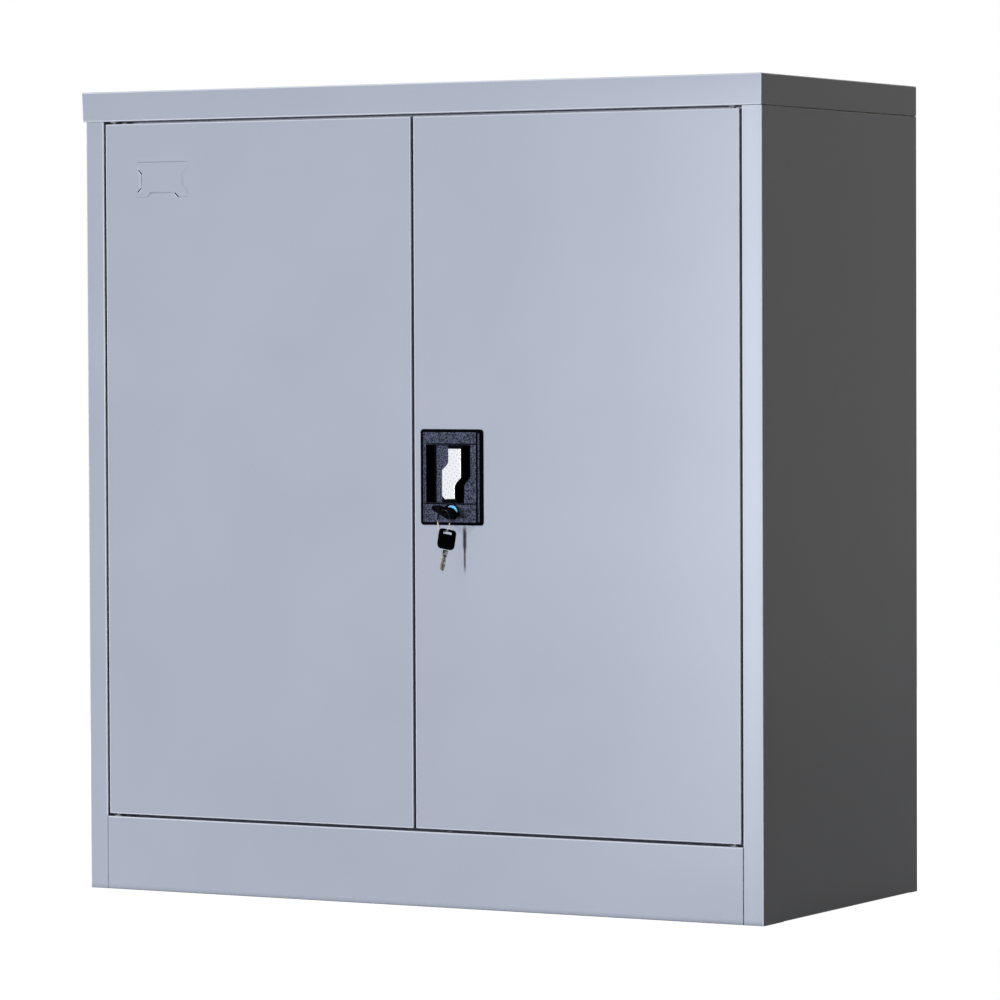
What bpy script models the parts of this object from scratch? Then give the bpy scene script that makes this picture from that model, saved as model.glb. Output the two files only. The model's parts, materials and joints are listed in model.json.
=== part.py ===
"""Two-door steel storage cupboard, half height, with a sliding latch handle and a key lock.

Metres, +Z up.  The origin is on the floor, under the middle of the body's front face, and
the doors face -Y.
The body is folded sheet steel: two side panels, a cap, a floor, a kick plate and a back.
Two pan doors turn on pivot pins.  The right door carries the latch: the handle slides, its
peg turns a cam, and the cam throws one rod up and one rod down into the body.
"""
import math

import bmesh
import bpy
from mathutils import Matrix, Vector

# Overall size of the body
HEIGHT = 0.900
WIDTH = 0.850
DEPTH = 0.390

# Sheet steel, its folds, and the clearances used everywhere
SHEET = 0.0008
FOLD = 0.0014
FIT = 0.0003
OVERRUN = 0.003
WELD = 0.00001

# Cap: a pan with a flange all round and a return lip under it
CAP_FLANGE = 0.0335
CAP_LIP = 0.036
CAP_OVERSAIL = 0.0045
CAP_LEAN = 0.0015

# Side panels: stile, return and lip in front, flange behind, a foot and a top flange
STILE = 0.02375
STILE_RETURN = 0.045
STILE_LIP = 0.012
REAR_FLANGE = 0.020
EDGE_FLANGE = 0.018
EDGE_FLANGE_FRONT = 0.049
EDGE_FLANGE_BACK = 0.020

# Gaps round the doors, and the pan of each door
SIDE_GAP = 0.0025
END_GAP = 0.003
MIDDLE_GAP = 0.003
DOOR_DEPTH = 0.022
DOOR_LIP = 0.014

# Kick plate, floor panel, header rail and back panel
KICK_HEIGHT = 0.0825
KICK_LIP = 0.044
KICK_FOOT = 0.016
KICK_SEAM = 0.0004
STOP_SETBACK = 0.027
FLOOR_RISE = 0.015
RAIL_LEG = 0.020
RAIL_DROP = 0.014
RAIL_HEM = 0.008
BACK_LIP = 0.015

# Slotted uprights on the side walls, the clips in them and the shelves
UPRIGHT_WIDTH = 0.022
UPRIGHT_RISE = 0.008
UPRIGHT_SHEET = 0.0010
UPRIGHT_FRONT_SETBACK = 0.080
UPRIGHT_REAR_SETBACK = 0.045
SLOT_WIDTH = 0.0130
SLOT_HEIGHT = 0.0090
SLOT_PITCH = 0.040
SLOT_START = 0.030
SLOT_COUNT = 17
LOWER_SLOT = 5
UPPER_SLOT = 12
CLIP_SHEET = 0.0015
CLIP_WIDTH = 0.0120
CLIP_LEDGE = 0.013
CLIP_HOOK = 0.0065
CLIP_NOSE = 0.004
CLIP_BEHIND = 0.0012
SHELF_DROP = 0.025
SHELF_LIP = 0.012
SHELF_END_GAP = 0.0007
SHELF_FRONT_SETBACK = 0.050
SHELF_BACK_GAP = 0.002

# Pivot pins of the doors and the nylon bushes that they turn in
PIVOT_INSET = 0.00925
PIVOT_SETBACK = 0.0055
PIN_RADIUS = 0.0025
PIN_COLLAR = 0.0040
PIN_COLLAR_DEPTH = 0.004
PIN_REACH = 0.007
BUSH_PLAY = 0.0002
BUSH_WALL = 0.0010
BUSH_FLANGE = 0.0050
BUSH_FLANGE_DEPTH = 0.0012
BUSH_DEPTH = 0.004

# Stiffening channels inside the doors
CHANNEL_WIDTH = 0.036
CHANNEL_FLANGE = 0.012
CHANNEL_RISE = 0.014
CHANNEL_END = 0.030
LEFT_CHANNEL_X = -0.200
RIGHT_CHANNEL_X = 0.250

# Card holder pressed into the left door
CARD_WIDTH = 0.074
CARD_HEIGHT = 0.043
CARD_LEFT = 0.0385
CARD_TOP = 0.0415
CARD_SIDE_STEP = 0.0075
CARD_FOOT_STEP = 0.0050
CARD_EAR_HEIGHT = 0.0075
CARD_EAR_WIDTH = 0.0150
CARD_RISE = 0.0007
CARD_SLIT = 0.0007
CARD_SLIT_LENGTH = 0.0065

# Lock housing: a moulded plate with a box behind it, through a cut-out in the right door
PLATE_WIDTH = 0.0770
PLATE_HEIGHT = 0.1045
PLATE_FROM_MIDDLE = 0.0108
PLATE_BASE = 0.4184
PLATE_PROUD = 0.0025
PLATE_CORNER = 0.0035
PLATE_EDGE = 0.0008
BOX_INSET = 0.0045
BOX_DEPTH = 0.0110
RIB_INSET = 0.0036
RIB_WIDTH = 0.0010
RIB_RISE = 0.0005

# Finger pocket in the housing, the sliding grip and its bright insert
POCKET_FLOOR = 0.0016
POCKET_LEFT = 0.0068
POCKET_BASE = 0.0242
POCKET_HEIGHT = 0.0633
POCKET_RIGHT = 0.0614
WAVE_SHIFT = 0.0078
WAVE_LENGTH = 0.0110
WAVE_RIGHT_DROP = 0.0358
WAVE_LEFT_DROP = 0.0133
WAVE_LEFT_LENGTH = 0.0100
FINGER_GAP = 0.0100
INSERT_WIDTH = 0.0152
INSERT_END_GAP = 0.0040
INSERT_RISE = 0.0030
GRIP_WIDTH = 0.0312
GRIP_PLAY = 0.0005
GRIP_PROUD = 0.0012
EDGE_ROUND = 0.0006
HANDLE_TRAVEL = 0.010

# Cam that the grip turns, and the rods that the cam throws
CAM_FROM_PLATE = 0.0442
CAM_ABOVE_BASE = 0.0476
CAM_SHEET = 0.0020
CAM_ROD_RADIUS = 0.0220
CAM_BOSS = 0.0080
CAM_PLAY = 0.0003
CAM_PIVOT_RADIUS = 0.0038
CAM_PIVOT_HEAD = 0.0065
CAM_PIVOT_HEAD_DEPTH = 0.0014
PEG_ARM = 0.01787
PEG_RADIUS = 0.0024
PEG_PLAY = 0.0006
ROD_RADIUS = 0.0030
ROD_PLAY = 0.0004
ROD_SIDE_PLAY = 0.0010
ROD_BEND = 0.0032
ROD_TIP_SHOW = 0.0012
GUIDE_WIDTH = 0.018
GUIDE_FOOT = 0.014
GUIDE_SHEET = 0.0015
GUIDE_FROM_END = 0.080

# Cover over the mechanism, inside the right door
COVER_MARGIN = 0.012
COVER_SHEET = 0.0008
COVER_CORNER = 0.004
COVER_NOTCH = 0.0044

# Key lock under the pocket
LOCK_FROM_PLATE = 0.0387
LOCK_ABOVE_BASE = 0.0146
LOCK_FLANGE_RADIUS = 0.0093
LOCK_FLANGE_DEPTH = 0.0016
BARREL_RADIUS = 0.0080
BARREL_LENGTH = 0.0185
PLUG_RADIUS = 0.0056
PLUG_TAIL = 0.0032
TONGUE_WIDTH = 0.0080
TONGUE_REACH = 0.0140
TONGUE_SHEET = 0.0015
KEYWAY_PLAY = 0.0003

# The two keys and the ring that joins them
BOW_WIDTH = 0.0255
BOW_LENGTH = 0.0225
BOW_THICKNESS = 0.0036
BOW_CORNER = 0.0045
BOW_WAIST = 0.0030
BOW_BAR = 0.0026
BOW_HOLE_WIDTH = 0.0090
LOCK_BOW_HOLE = 0.0082
SPARE_BOW_HOLE = 0.0049
HOLE_CORNER = 0.0010
SHANK_WIDTH = 0.0078
SHANK_LENGTH = 0.0060
BLADE_WIDTH = 0.0052
BLADE_LENGTH = 0.0170
BLADE_THICKNESS = 0.0020
KEY_NOTCH = 0.0011
KEY_NOTCH_COUNT = 4
KEY_SHALLOW_SHARE = 0.5
KEY_SHOW = 0.0022
RING_RADIUS = 0.0118
RING_WIRE = 0.0009
RING_SLIDE = 0.0054
RING_PLAY = 0.0005
LOCK_KEY_TILT_DEG = 28
RING_TURN_DEG = 64
SPARE_FACE_DEG = 70
SPARE_TILT_DEG = -11

# Rubber buffers between the doors and their stops
BUFFER_RADIUS = 0.005
BUFFER_NOSE = 0.0035
BUFFER_FROM_MIDDLE = 0.060

# Facets, and the angles that tell a fold or a rim from a curve
ROUND_STEPS = 32
SMALL_STEPS = 20
ARC_STEPS = 4
WAVE_STEPS = 6
FOLD_STEPS = 2
RING_SIDES = 8
FOLD_ANGLE_DEG = 30
RIM_ANGLE_DEG = 35
AXIS_MARK = 0.010

# Places worked out from the sizes above
FRONT = 0
BACK = FRONT + DEPTH
HALF = WIDTH / 2
CAP_BASE = HEIGHT - CAP_FLANGE
SIDE_TOP = CAP_BASE - FIT
WALL_INSIDE = HALF - SHEET
STILE_EDGE = HALF - STILE
DOOR_EDGE = STILE_EDGE - SIDE_GAP
DOOR_FREE = MIDDLE_GAP / 2
DOOR_TOP = CAP_BASE - END_GAP
DOOR_BASE = KICK_HEIGHT + END_GAP
DOOR_BACK = FRONT + DOOR_DEPTH
SKIN_BACK = FRONT + SHEET
STOP_Y = FRONT + STOP_SETBACK
FLOOR_TOP = KICK_HEIGHT + FLOOR_RISE
BACK_INSIDE = BACK - 2 * SHEET - FIT
PIVOT_X = DOOR_EDGE - PIVOT_INSET
PIVOT_Y = FRONT + PIVOT_SETBACK
PLATE_X = PLATE_FROM_MIDDLE
PLATE_FRONT = FRONT - PLATE_PROUD
BOX_BACK = FRONT + BOX_DEPTH
CAM_X = PLATE_X + CAM_FROM_PLATE
CAM_Z = PLATE_BASE + CAM_ABOVE_BASE
CAM_FRONT = BOX_BACK + FIT
CAM_BACK = CAM_FRONT + CAM_SHEET
ROD_Y = CAM_BACK + FIT + ROD_RADIUS
CAM_HALF_SWING = math.atan2(HANDLE_TRAVEL / 2, PEG_ARM)
ROD_ARM = CAM_ROD_RADIUS * math.cos(CAM_HALF_SWING)
ROD_DROP = CAM_ROD_RADIUS * math.sin(CAM_HALF_SWING)
LOCK_X = PLATE_X + LOCK_FROM_PLATE
LOCK_Z = PLATE_BASE + LOCK_ABOVE_BASE
LOCK_FACE = PLATE_FRONT - FIT - LOCK_FLANGE_DEPTH


def start_clean():
    for item in list(bpy.data.objects):
        bpy.data.objects.remove(item, do_unlink=True)


def make_collection(name):
    group = bpy.data.collections.new(name)
    bpy.context.scene.collection.children.link(group)
    return group


def paint(name, colour, roughness, metallic=0.0):
    material = bpy.data.materials.new(name)
    material.use_nodes = True
    shader = material.node_tree.nodes["Principled BSDF"]
    shader.inputs["Base Color"].default_value = (*colour, 1.0)
    shader.inputs["Roughness"].default_value = roughness
    shader.inputs["Metallic"].default_value = metallic
    return material


start_clean()
PARTS = make_collection("storage_cupboard")
CUTTERS = make_collection("cutters")
POWDER_COAT = paint("grey_blue_powder_coat", (0.45, 0.48, 0.56), 0.45)
ZINC = paint("zinc_plated_steel", (0.62, 0.62, 0.60), 0.35, 1.0)
CHROME = paint("bright_chrome", (0.86, 0.87, 0.88), 0.10, 1.0)
BLACK_ABS = paint("black_textured_abs", (0.020, 0.022, 0.028), 0.55)
NYLON = paint("natural_nylon", (0.78, 0.76, 0.70), 0.50)
RUBBER = paint("black_rubber", (0.03, 0.03, 0.03), 0.80)


# Small modelling helpers
def add_part(name, mesh, material, place=(0, 0, 0), turn=None):
    part = bpy.data.objects.new(name, mesh)
    part.location = place
    if turn is not None:
        part.rotation_euler = turn.to_euler()
    mesh.materials.clear()
    mesh.materials.append(material)
    PARTS.objects.link(part)
    return part


def mesh_from(bm, name):
    mesh = bpy.data.meshes.new(name)
    bm.to_mesh(mesh)
    bm.free()
    return mesh


def evaluated_mesh(holder):
    """The mesh that a curve or a modifier makes. The object that carried it goes."""
    bpy.context.scene.collection.objects.link(holder)
    bpy.context.view_layer.update()
    evaluated = holder.evaluated_get(bpy.context.evaluated_depsgraph_get())
    mesh = bpy.data.meshes.new_from_object(evaluated)
    bpy.data.objects.remove(holder)
    return mesh


def shade_round(mesh):
    mesh.shade_smooth()
    mesh.set_sharp_from_angle(angle=math.radians(RIM_ANGLE_DEG))


def fold_sheet(part, thickness=SHEET, radius=FOLD):
    """Round the folds of an open surface, then give it its wall on the inner side."""
    bevel = part.modifiers.new("folds", "BEVEL")
    bevel.width = radius
    bevel.segments = FOLD_STEPS
    bevel.limit_method = "ANGLE"
    bevel.angle_limit = math.radians(FOLD_ANGLE_DEG)
    wall = part.modifiers.new("wall", "SOLIDIFY")
    wall.thickness = thickness
    wall.offset = -1
    wall.use_even_offset = True


def cutter(mesh, name, place=(0, 0, 0), turn=None):
    tool = bpy.data.objects.new(name, mesh)
    tool.location = place
    if turn is not None:
        tool.rotation_euler = turn.to_euler()
    tool.hide_render = True
    tool.display_type = "WIRE"
    CUTTERS.objects.link(tool)
    return tool


def boolean(part, tool, operation="DIFFERENCE"):
    step = part.modifiers.new(tool.name, "BOOLEAN")
    step.operation = operation
    step.solver = "EXACT"
    step.object = tool


def box_mesh(name, low, high):
    low, high = Vector(low), Vector(high)
    bm = bmesh.new()
    bmesh.ops.create_cube(bm, size=1.0)
    bmesh.ops.scale(bm, vec=high - low, verts=bm.verts)
    bmesh.ops.translate(bm, vec=(low + high) / 2, verts=bm.verts)
    return mesh_from(bm, name)


def cut_box(part, name, low, high):
    boolean(part, cutter(box_mesh(name, low, high), name))


def cut_hole(part, name, centre, radius, half_length, turn=None, steps=SMALL_STEPS):
    """A round cutter, along Z unless it is turned."""
    bm = bmesh.new()
    bmesh.ops.create_cone(bm, cap_ends=True, segments=steps, radius1=radius,
                          radius2=radius, depth=2 * half_length)
    boolean(part, cutter(mesh_from(bm, name), name, centre, turn))


FACING = Matrix.Rotation(math.radians(90), 3, "X")
UPSIDE_DOWN = Matrix.Rotation(math.radians(180), 3, "X")


def pan(name, low, high, open_side, lip, material, thickness=SHEET, radius=FOLD):
    """A folded pan: a box without one side, with return lips turned in round that side."""
    low, high = Vector(low), Vector(high)
    centre = (low + high) / 2
    opening = Vector(open_side)
    across = [axis for axis in range(3) if opening[axis] == 0]
    bm = bmesh.new()
    bmesh.ops.create_cube(bm, size=1.0)
    bmesh.ops.scale(bm, vec=high - low, verts=bm.verts)
    bm.normal_update()
    doomed = [face for face in bm.faces if face.normal.dot(opening) > 0.9]
    bmesh.ops.delete(bm, geom=doomed, context="FACES_ONLY")
    if lip:
        rim = [edge for edge in bm.edges if edge.is_boundary]
        made = bmesh.ops.extrude_edge_only(bm, edges=rim)["geom"]
        for vert in (item for item in made if isinstance(item, bmesh.types.BMVert)):
            for axis in across:
                vert.co[axis] -= math.copysign(lip, vert.co[axis])
    bmesh.ops.recalc_face_normals(bm, faces=bm.faces)
    bm.normal_update()
    base = min(bm.faces, key=lambda face: face.calc_center_median().dot(opening))
    if base.normal.dot(opening) > 0:
        bmesh.ops.reverse_faces(bm, faces=bm.faces)
    part = add_part(name, mesh_from(bm, name), material, centre)
    fold_sheet(part, thickness, radius)
    return part


def strip_faces(bm, points, along):
    """Sweep an open line of folds: its outer side is on the right of the line's way."""
    row = [bm.verts.new(point) for point in points]
    edges = [bm.edges.new(pair) for pair in zip(row, row[1:])]
    made = bmesh.ops.extrude_edge_only(bm, edges=edges)["geom"]
    swept = [item for item in made if isinstance(item, bmesh.types.BMVert)]
    bmesh.ops.translate(bm, vec=along, verts=swept)


def turn_outwards(bm, point, outwards):
    """Make all faces agree, with the face nearest a point looking the way given."""
    bmesh.ops.recalc_face_normals(bm, faces=bm.faces)
    bm.normal_update()
    near = min(bm.faces, key=lambda face: (face.calc_center_median() - Vector(point)).length)
    if near.normal.dot(Vector(outwards)) < 0:
        bmesh.ops.reverse_faces(bm, faces=bm.faces)


def folded_strip(name, points, along, outside, material, place=(0, 0, 0),
                 thickness=SHEET, radius=FOLD):
    """A folded section swept along a straight line. outside is (point, normal) on it."""
    bm = bmesh.new()
    strip_faces(bm, points, along)
    turn_outwards(bm, *outside)
    part = add_part(name, mesh_from(bm, name), material, place)
    fold_sheet(part, thickness, radius)
    return part


def arc(centre, radius, start_deg, end_deg, steps=ARC_STEPS):
    turns = [start_deg + (end_deg - start_deg) * step / steps for step in range(steps + 1)]
    return [(centre[0] + radius * math.cos(math.radians(turn)),
             centre[1] + radius * math.sin(math.radians(turn))) for turn in turns]


def rounded_box(low, high, radius, steps=ARC_STEPS):
    """The outline of a rectangle with round corners, anticlockwise."""
    corners = (((high[0] - radius, high[1] - radius), 0),
               ((low[0] + radius, high[1] - radius), 90),
               ((low[0] + radius, low[1] + radius), 180),
               ((high[0] - radius, low[1] + radius), 270))
    return [point for centre, turn in corners
            for point in arc(centre, radius, turn, turn + 90, steps)]


def flat_mesh(name, outlines, thickness, bevel=0):
    """A flat plate from outlines in its own XY plane, the inner ones being holes."""
    curve = bpy.data.curves.new(name, "CURVE")
    curve.dimensions = "2D"
    curve.fill_mode = "BOTH"
    curve.extrude = thickness / 2 - bevel
    curve.bevel_depth = bevel
    curve.bevel_resolution = 0
    curve.offset = -bevel
    for outline in outlines:
        spline = curve.splines.new("POLY")
        spline.points.add(len(outline) - 1)
        for point, (x, y) in zip(spline.points, outline):
            point.co = (x, y, 0, 1)
        spline.use_cyclic_u = True
    mesh = evaluated_mesh(bpy.data.objects.new(name, curve))
    bm = bmesh.new()
    bm.from_mesh(mesh)
    bmesh.ops.remove_doubles(bm, verts=bm.verts, dist=WELD)
    bmesh.ops.recalc_face_normals(bm, faces=bm.faces)
    bm.to_mesh(mesh)
    bm.free()
    return mesh


def turned(name, profile, material, place, turn=None, steps=ROUND_STEPS, closed=False):
    """A profile of (radius, height) points turned about the part's own Z axis."""
    bm = bmesh.new()
    row = [bm.verts.new((radius, 0, height)) for radius, height in profile]
    for pair in zip(row, row[1:]):
        bm.edges.new(pair)
    if closed:
        bm.edges.new((row[-1], row[0]))
    holder = bpy.data.objects.new(name, mesh_from(bm, name))
    screw = holder.modifiers.new("turning", "SCREW")
    screw.steps = steps
    screw.render_steps = steps
    screw.use_merge_vertices = True
    screw.merge_threshold = WELD
    mesh = evaluated_mesh(holder)
    shade_round(mesh)
    return add_part(name, mesh, material, place, turn)


def joint_empty(name, place):
    empty = bpy.data.objects.new(name, None)
    empty.location = place
    empty.empty_display_size = AXIS_MARK
    PARTS.objects.link(empty)
    return empty


def hold(parent, *children):
    """Parent pieces to a joint's empty, or a joint to another, without moving them."""
    bpy.context.view_layer.update()
    for child in children:
        child.parent = parent
        child.matrix_parent_inverse = parent.matrix_world.inverted()


# Body of folded sheet
def make_cap():
    cap = pan("top_cap", (-HALF, FRONT, CAP_BASE), (HALF, BACK, HEIGHT), (0, 0, -1),
              CAP_LIP, POWDER_COAT)
    centre_z = (CAP_BASE + HEIGHT) / 2
    for vert in cap.data.vertices:
        at_left_wall = vert.co.x < -HALF + WELD
        if at_left_wall:
            vert.co.x -= CAP_OVERSAIL
        if at_left_wall and vert.co.z + centre_z > CAP_BASE + WELD:
            vert.co.x -= CAP_LEAN
    rod_hole(cap, "upper_keeper", CAM_X + ROD_ARM, CAP_BASE)
    for side in (-1, 1):
        cut_hole(cap, f"cap_bush_hole_{side}", pivot_place(side, CAP_BASE), BUSH_HOLE,
                 OVERRUN)
    return cap


BUSH_INNER = PIN_RADIUS + BUSH_PLAY
BUSH_OUTER = BUSH_INNER + BUSH_WALL
BUSH_HOLE = BUSH_OUTER + FIT


def pivot_place(side, height):
    return Vector((side * PIVOT_X, PIVOT_Y, height))


def rod_hole(part, name, x, z):
    cut_hole(part, name, (x, ROD_Y, z), ROD_RADIUS + 2 * ROD_PLAY, OVERRUN)


def make_side_panel(name, side):
    """A C section: lip, return and stile in front, the wall, and a flange behind."""
    section = [(STILE_EDGE + STILE_LIP, FRONT + STILE_RETURN),
               (STILE_EDGE, FRONT + STILE_RETURN),
               (STILE_EDGE, FRONT),
               (HALF, FRONT),
               (HALF, FRONT + EDGE_FLANGE_FRONT),
               (HALF, BACK - EDGE_FLANGE_BACK),
               (HALF, BACK),
               (HALF - REAR_FLANGE, BACK)]
    place = Vector((side * HALF, 0, 0))
    bm = bmesh.new()
    points = [Vector((side * x, y, 0)) - place for x, y in section]
    strip_faces(bm, points, (0, 0, SIDE_TOP))
    for edge in [edge for edge in bm.edges if edge.is_boundary]:
        ends = [vert.co for vert in edge.verts]
        on_wall = all(abs(end.x) < WELD for end in ends)
        level = abs(ends[0].z - ends[1].z) < WELD
        middle = (ends[0].y + ends[1].y) / 2
        between = FRONT + EDGE_FLANGE_FRONT < middle < BACK - EDGE_FLANGE_BACK
        if on_wall and level and between:
            made = bmesh.ops.extrude_edge_only(bm, edges=[edge])["geom"]
            verts = [item for item in made if isinstance(item, bmesh.types.BMVert)]
            bmesh.ops.translate(bm, vec=(-side * EDGE_FLANGE, 0, 0), verts=verts)
    turn_outwards(bm, (0, 0, SIDE_TOP / 2), (side, 0, 0))
    panel = add_part(name, mesh_from(bm, name), POWDER_COAT, place)
    fold_sheet(panel)
    return panel


def make_kick_plate():
    section = [(0, FRONT + KICK_LIP, KICK_HEIGHT), (0, FRONT, KICK_HEIGHT), (0, FRONT, 0),
               (0, FRONT + KICK_FOOT, 0)]
    half = STILE_EDGE - KICK_SEAM
    plate = folded_strip("kick_plate", section, (2 * half, 0, 0),
                         ((half, FRONT, KICK_HEIGHT / 2), (0, -1, 0)), POWDER_COAT,
                         (-half, 0, 0))
    rod_hole(plate, "lower_keeper", CAM_X - ROD_ARM, KICK_HEIGHT)
    for side in (-1, 1):
        cut_hole(plate, f"kick_bush_hole_{side}", pivot_place(side, KICK_HEIGHT), BUSH_HOLE,
                 OVERRUN)
    return plate


def make_floor_panel():
    """The floor drops to the kick plate's lip in front, where it stops the doors."""
    narrow = STILE_EDGE - 2 * FIT
    wide = WALL_INSIDE - FIT
    shoulder = FRONT + STILE_RETURN + FIT
    rear = BACK_INSIDE - FIT
    outline = [(-narrow, STOP_Y), (narrow, STOP_Y), (narrow, shoulder), (wide, shoulder),
               (wide, rear), (-wide, rear), (-wide, shoulder), (-narrow, shoulder)]
    bm = bmesh.new()
    bm.faces.new([bm.verts.new((x, y, 0)) for x, y in outline])
    rim = list(bm.edges)
    made = bmesh.ops.extrude_edge_only(bm, edges=rim)["geom"]
    verts = [item for item in made if isinstance(item, bmesh.types.BMVert)]
    bmesh.ops.translate(bm, vec=(0, 0, FIT - FLOOR_RISE), verts=verts)
    turn_outwards(bm, (0, 0, 0), (0, 0, 1))
    floor = add_part("floor_panel", mesh_from(bm, "floor_panel"), POWDER_COAT,
                     (0, 0, FLOOR_TOP))
    fold_sheet(floor)
    return floor


def make_header_rail():
    top = CAP_BASE - FIT
    section = [(0, STOP_Y + RAIL_LEG, top), (0, STOP_Y, top), (0, STOP_Y, top - RAIL_DROP),
               (0, STOP_Y + RAIL_HEM, top - RAIL_DROP)]
    half = STILE_EDGE - 2 * FIT
    return folded_strip("header_rail", section, (2 * half, 0, 0),
                        ((half, STOP_Y, top - RAIL_DROP / 2), (0, -1, 0)), POWDER_COAT,
                        (-half, 0, 0))


def make_back_panel():
    outer = BACK - SHEET - FIT
    half = WALL_INSIDE - FIT
    section = [(0, outer - BACK_LIP, SIDE_TOP), (0, outer, SIDE_TOP), (0, outer, FIT),
               (0, outer - BACK_LIP, FIT)]
    return folded_strip("back_panel", section, (2 * half, 0, 0),
                        ((half, outer, HEIGHT / 2), (0, 1, 0)), POWDER_COAT, (-half, 0, 0))


# Shelves and what carries them
UPRIGHT_FACE = WALL_INSIDE - FIT - UPRIGHT_RISE
UPRIGHT_BASE = FLOOR_TOP + FIT
UPRIGHT_TOP = SIDE_TOP - 2 * SHEET - FIT
UPRIGHT_ROWS = {"front": FRONT + UPRIGHT_FRONT_SETBACK, "rear": BACK - UPRIGHT_REAR_SETBACK}


def slot_base(index):
    return FLOOR_TOP + SLOT_START + index * SLOT_PITCH


def make_upright(name, side, y):
    """A shallow channel on the side wall, with a row of slots for the clips."""
    half = UPRIGHT_WIDTH / 2
    wall = side * UPRIGHT_RISE
    section = [(wall, -half, 0), (0, -half, 0), (0, half, 0), (wall, half, 0)]
    upright = folded_strip(name, section, (0, 0, UPRIGHT_TOP - UPRIGHT_BASE),
                           ((0, 0, SIDE_TOP / 2), (-side, 0, 0)), POWDER_COAT,
                           (side * UPRIGHT_FACE, y, UPRIGHT_BASE), UPRIGHT_SHEET)
    bm = bmesh.new()
    for index in range(SLOT_COUNT):
        made = bmesh.ops.create_cube(bm, size=1.0)["verts"]
        bmesh.ops.scale(bm, vec=(2 * OVERRUN, SLOT_WIDTH, SLOT_HEIGHT), verts=made)
        bmesh.ops.translate(bm, vec=(0, 0, slot_base(index) + SLOT_HEIGHT / 2), verts=made)
    boolean(upright, cutter(mesh_from(bm, f"{name}_slots"), f"{name}_slots",
                            (side * UPRIGHT_FACE, y, 0)))
    return upright


def make_clip(name, side, y, index):
    """A folded clip: hook behind the slot, ledge under the shelf, short nose in front."""
    base = slot_base(index) + FIT + CLIP_SHEET
    hook_x = UPRIGHT_SHEET + CLIP_BEHIND
    section = [(side * hook_x, 0, CLIP_HOOK), (side * hook_x, 0, 0),
               (-side * CLIP_LEDGE, 0, 0), (-side * CLIP_LEDGE, 0, -CLIP_NOSE)]
    return folded_strip(name, section, (0, CLIP_WIDTH, 0),
                        ((-side * CLIP_LEDGE / 2, CLIP_WIDTH / 2, 0), (0, 0, 1)), ZINC,
                        (side * UPRIGHT_FACE, y - CLIP_WIDTH / 2, base), CLIP_SHEET,
                        CLIP_SHEET)


def make_shelf(name, index):
    half = UPRIGHT_FACE - SHELF_END_GAP
    base = slot_base(index) + 2 * FIT + CLIP_SHEET
    return pan(name, (-half, FRONT + SHELF_FRONT_SETBACK, base),
               (half, BACK_INSIDE - SHELF_BACK_GAP, base + SHELF_DROP), (0, 0, -1),
               SHELF_LIP, POWDER_COAT)


def make_shelving():
    for side, hand in ((-1, "left"), (1, "right")):
        for row, y in UPRIGHT_ROWS.items():
            make_upright(f"{row}_{hand}_upright", side, y)
            make_clip(f"lower_{row}_{hand}_shelf_clip", side, y, LOWER_SLOT)
            make_clip(f"upper_{row}_{hand}_shelf_clip", side, y, UPPER_SLOT)
    make_shelf("lower_shelf", LOWER_SLOT)
    make_shelf("upper_shelf", UPPER_SLOT)


# Pivots: the pins ride with the doors, the bushes sit in the cap and the kick plate
def make_bush(name, side, level, up):
    """up is 1 where the bush's body points up into the cap, -1 down into the kick plate."""
    flange = [(BUSH_FLANGE, -FIT), (BUSH_FLANGE, -FIT - BUSH_FLANGE_DEPTH),
              (BUSH_INNER, -FIT - BUSH_FLANGE_DEPTH), (BUSH_INNER, BUSH_DEPTH),
              (BUSH_OUTER, BUSH_DEPTH), (BUSH_OUTER, -FIT)]
    turn = None if up > 0 else UPSIDE_DOWN
    return turned(name, flange, NYLON, pivot_place(side, level), turn, SMALL_STEPS, True)


def make_pin(name, side, level, up, door_end):
    """A pin with a collar inside the door, its nose in the bush."""
    seat = abs(level - door_end) + SHEET + FIT
    profile = [(0, PIN_REACH), (PIN_RADIUS, PIN_REACH), (PIN_RADIUS, -seat),
               (PIN_COLLAR, -seat), (PIN_COLLAR, -seat - PIN_COLLAR_DEPTH),
               (0, -seat - PIN_COLLAR_DEPTH)]
    turn = None if up > 0 else UPSIDE_DOWN
    return turned(name, profile, ZINC, pivot_place(side, level), turn, SMALL_STEPS)


# Doors
def make_door_pan(name, side):
    edges = sorted((side * DOOR_FREE, side * DOOR_EDGE))
    door = pan(name, (edges[0], FRONT, DOOR_BASE), (edges[1], DOOR_BACK, DOOR_TOP),
               (0, 1, 0), DOOR_LIP, POWDER_COAT)
    for level, end in ((DOOR_BASE, "lower"), (DOOR_TOP, "upper")):
        cut_hole(door, f"{name}_{end}_pin_hole", pivot_place(side, level), PIN_RADIUS + FIT,
                 OVERRUN)
    return door


def make_channel(name, x):
    """A hat section standing on the inner face of a door's skin."""
    half = CHANNEL_WIDTH / 2
    section = [(-half - CHANNEL_FLANGE, 0, 0), (-half, 0, 0), (-half, CHANNEL_RISE, 0),
               (half, CHANNEL_RISE, 0), (half, 0, 0), (half + CHANNEL_FLANGE, 0, 0)]
    length = DOOR_TOP - DOOR_BASE - 2 * CHANNEL_END
    return folded_strip(name, section, (0, 0, length),
                        ((0, CHANNEL_RISE, length / 2), (0, -1, 0)), POWDER_COAT,
                        (x, SKIN_BACK + FIT, DOOR_BASE + CHANNEL_END))


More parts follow.
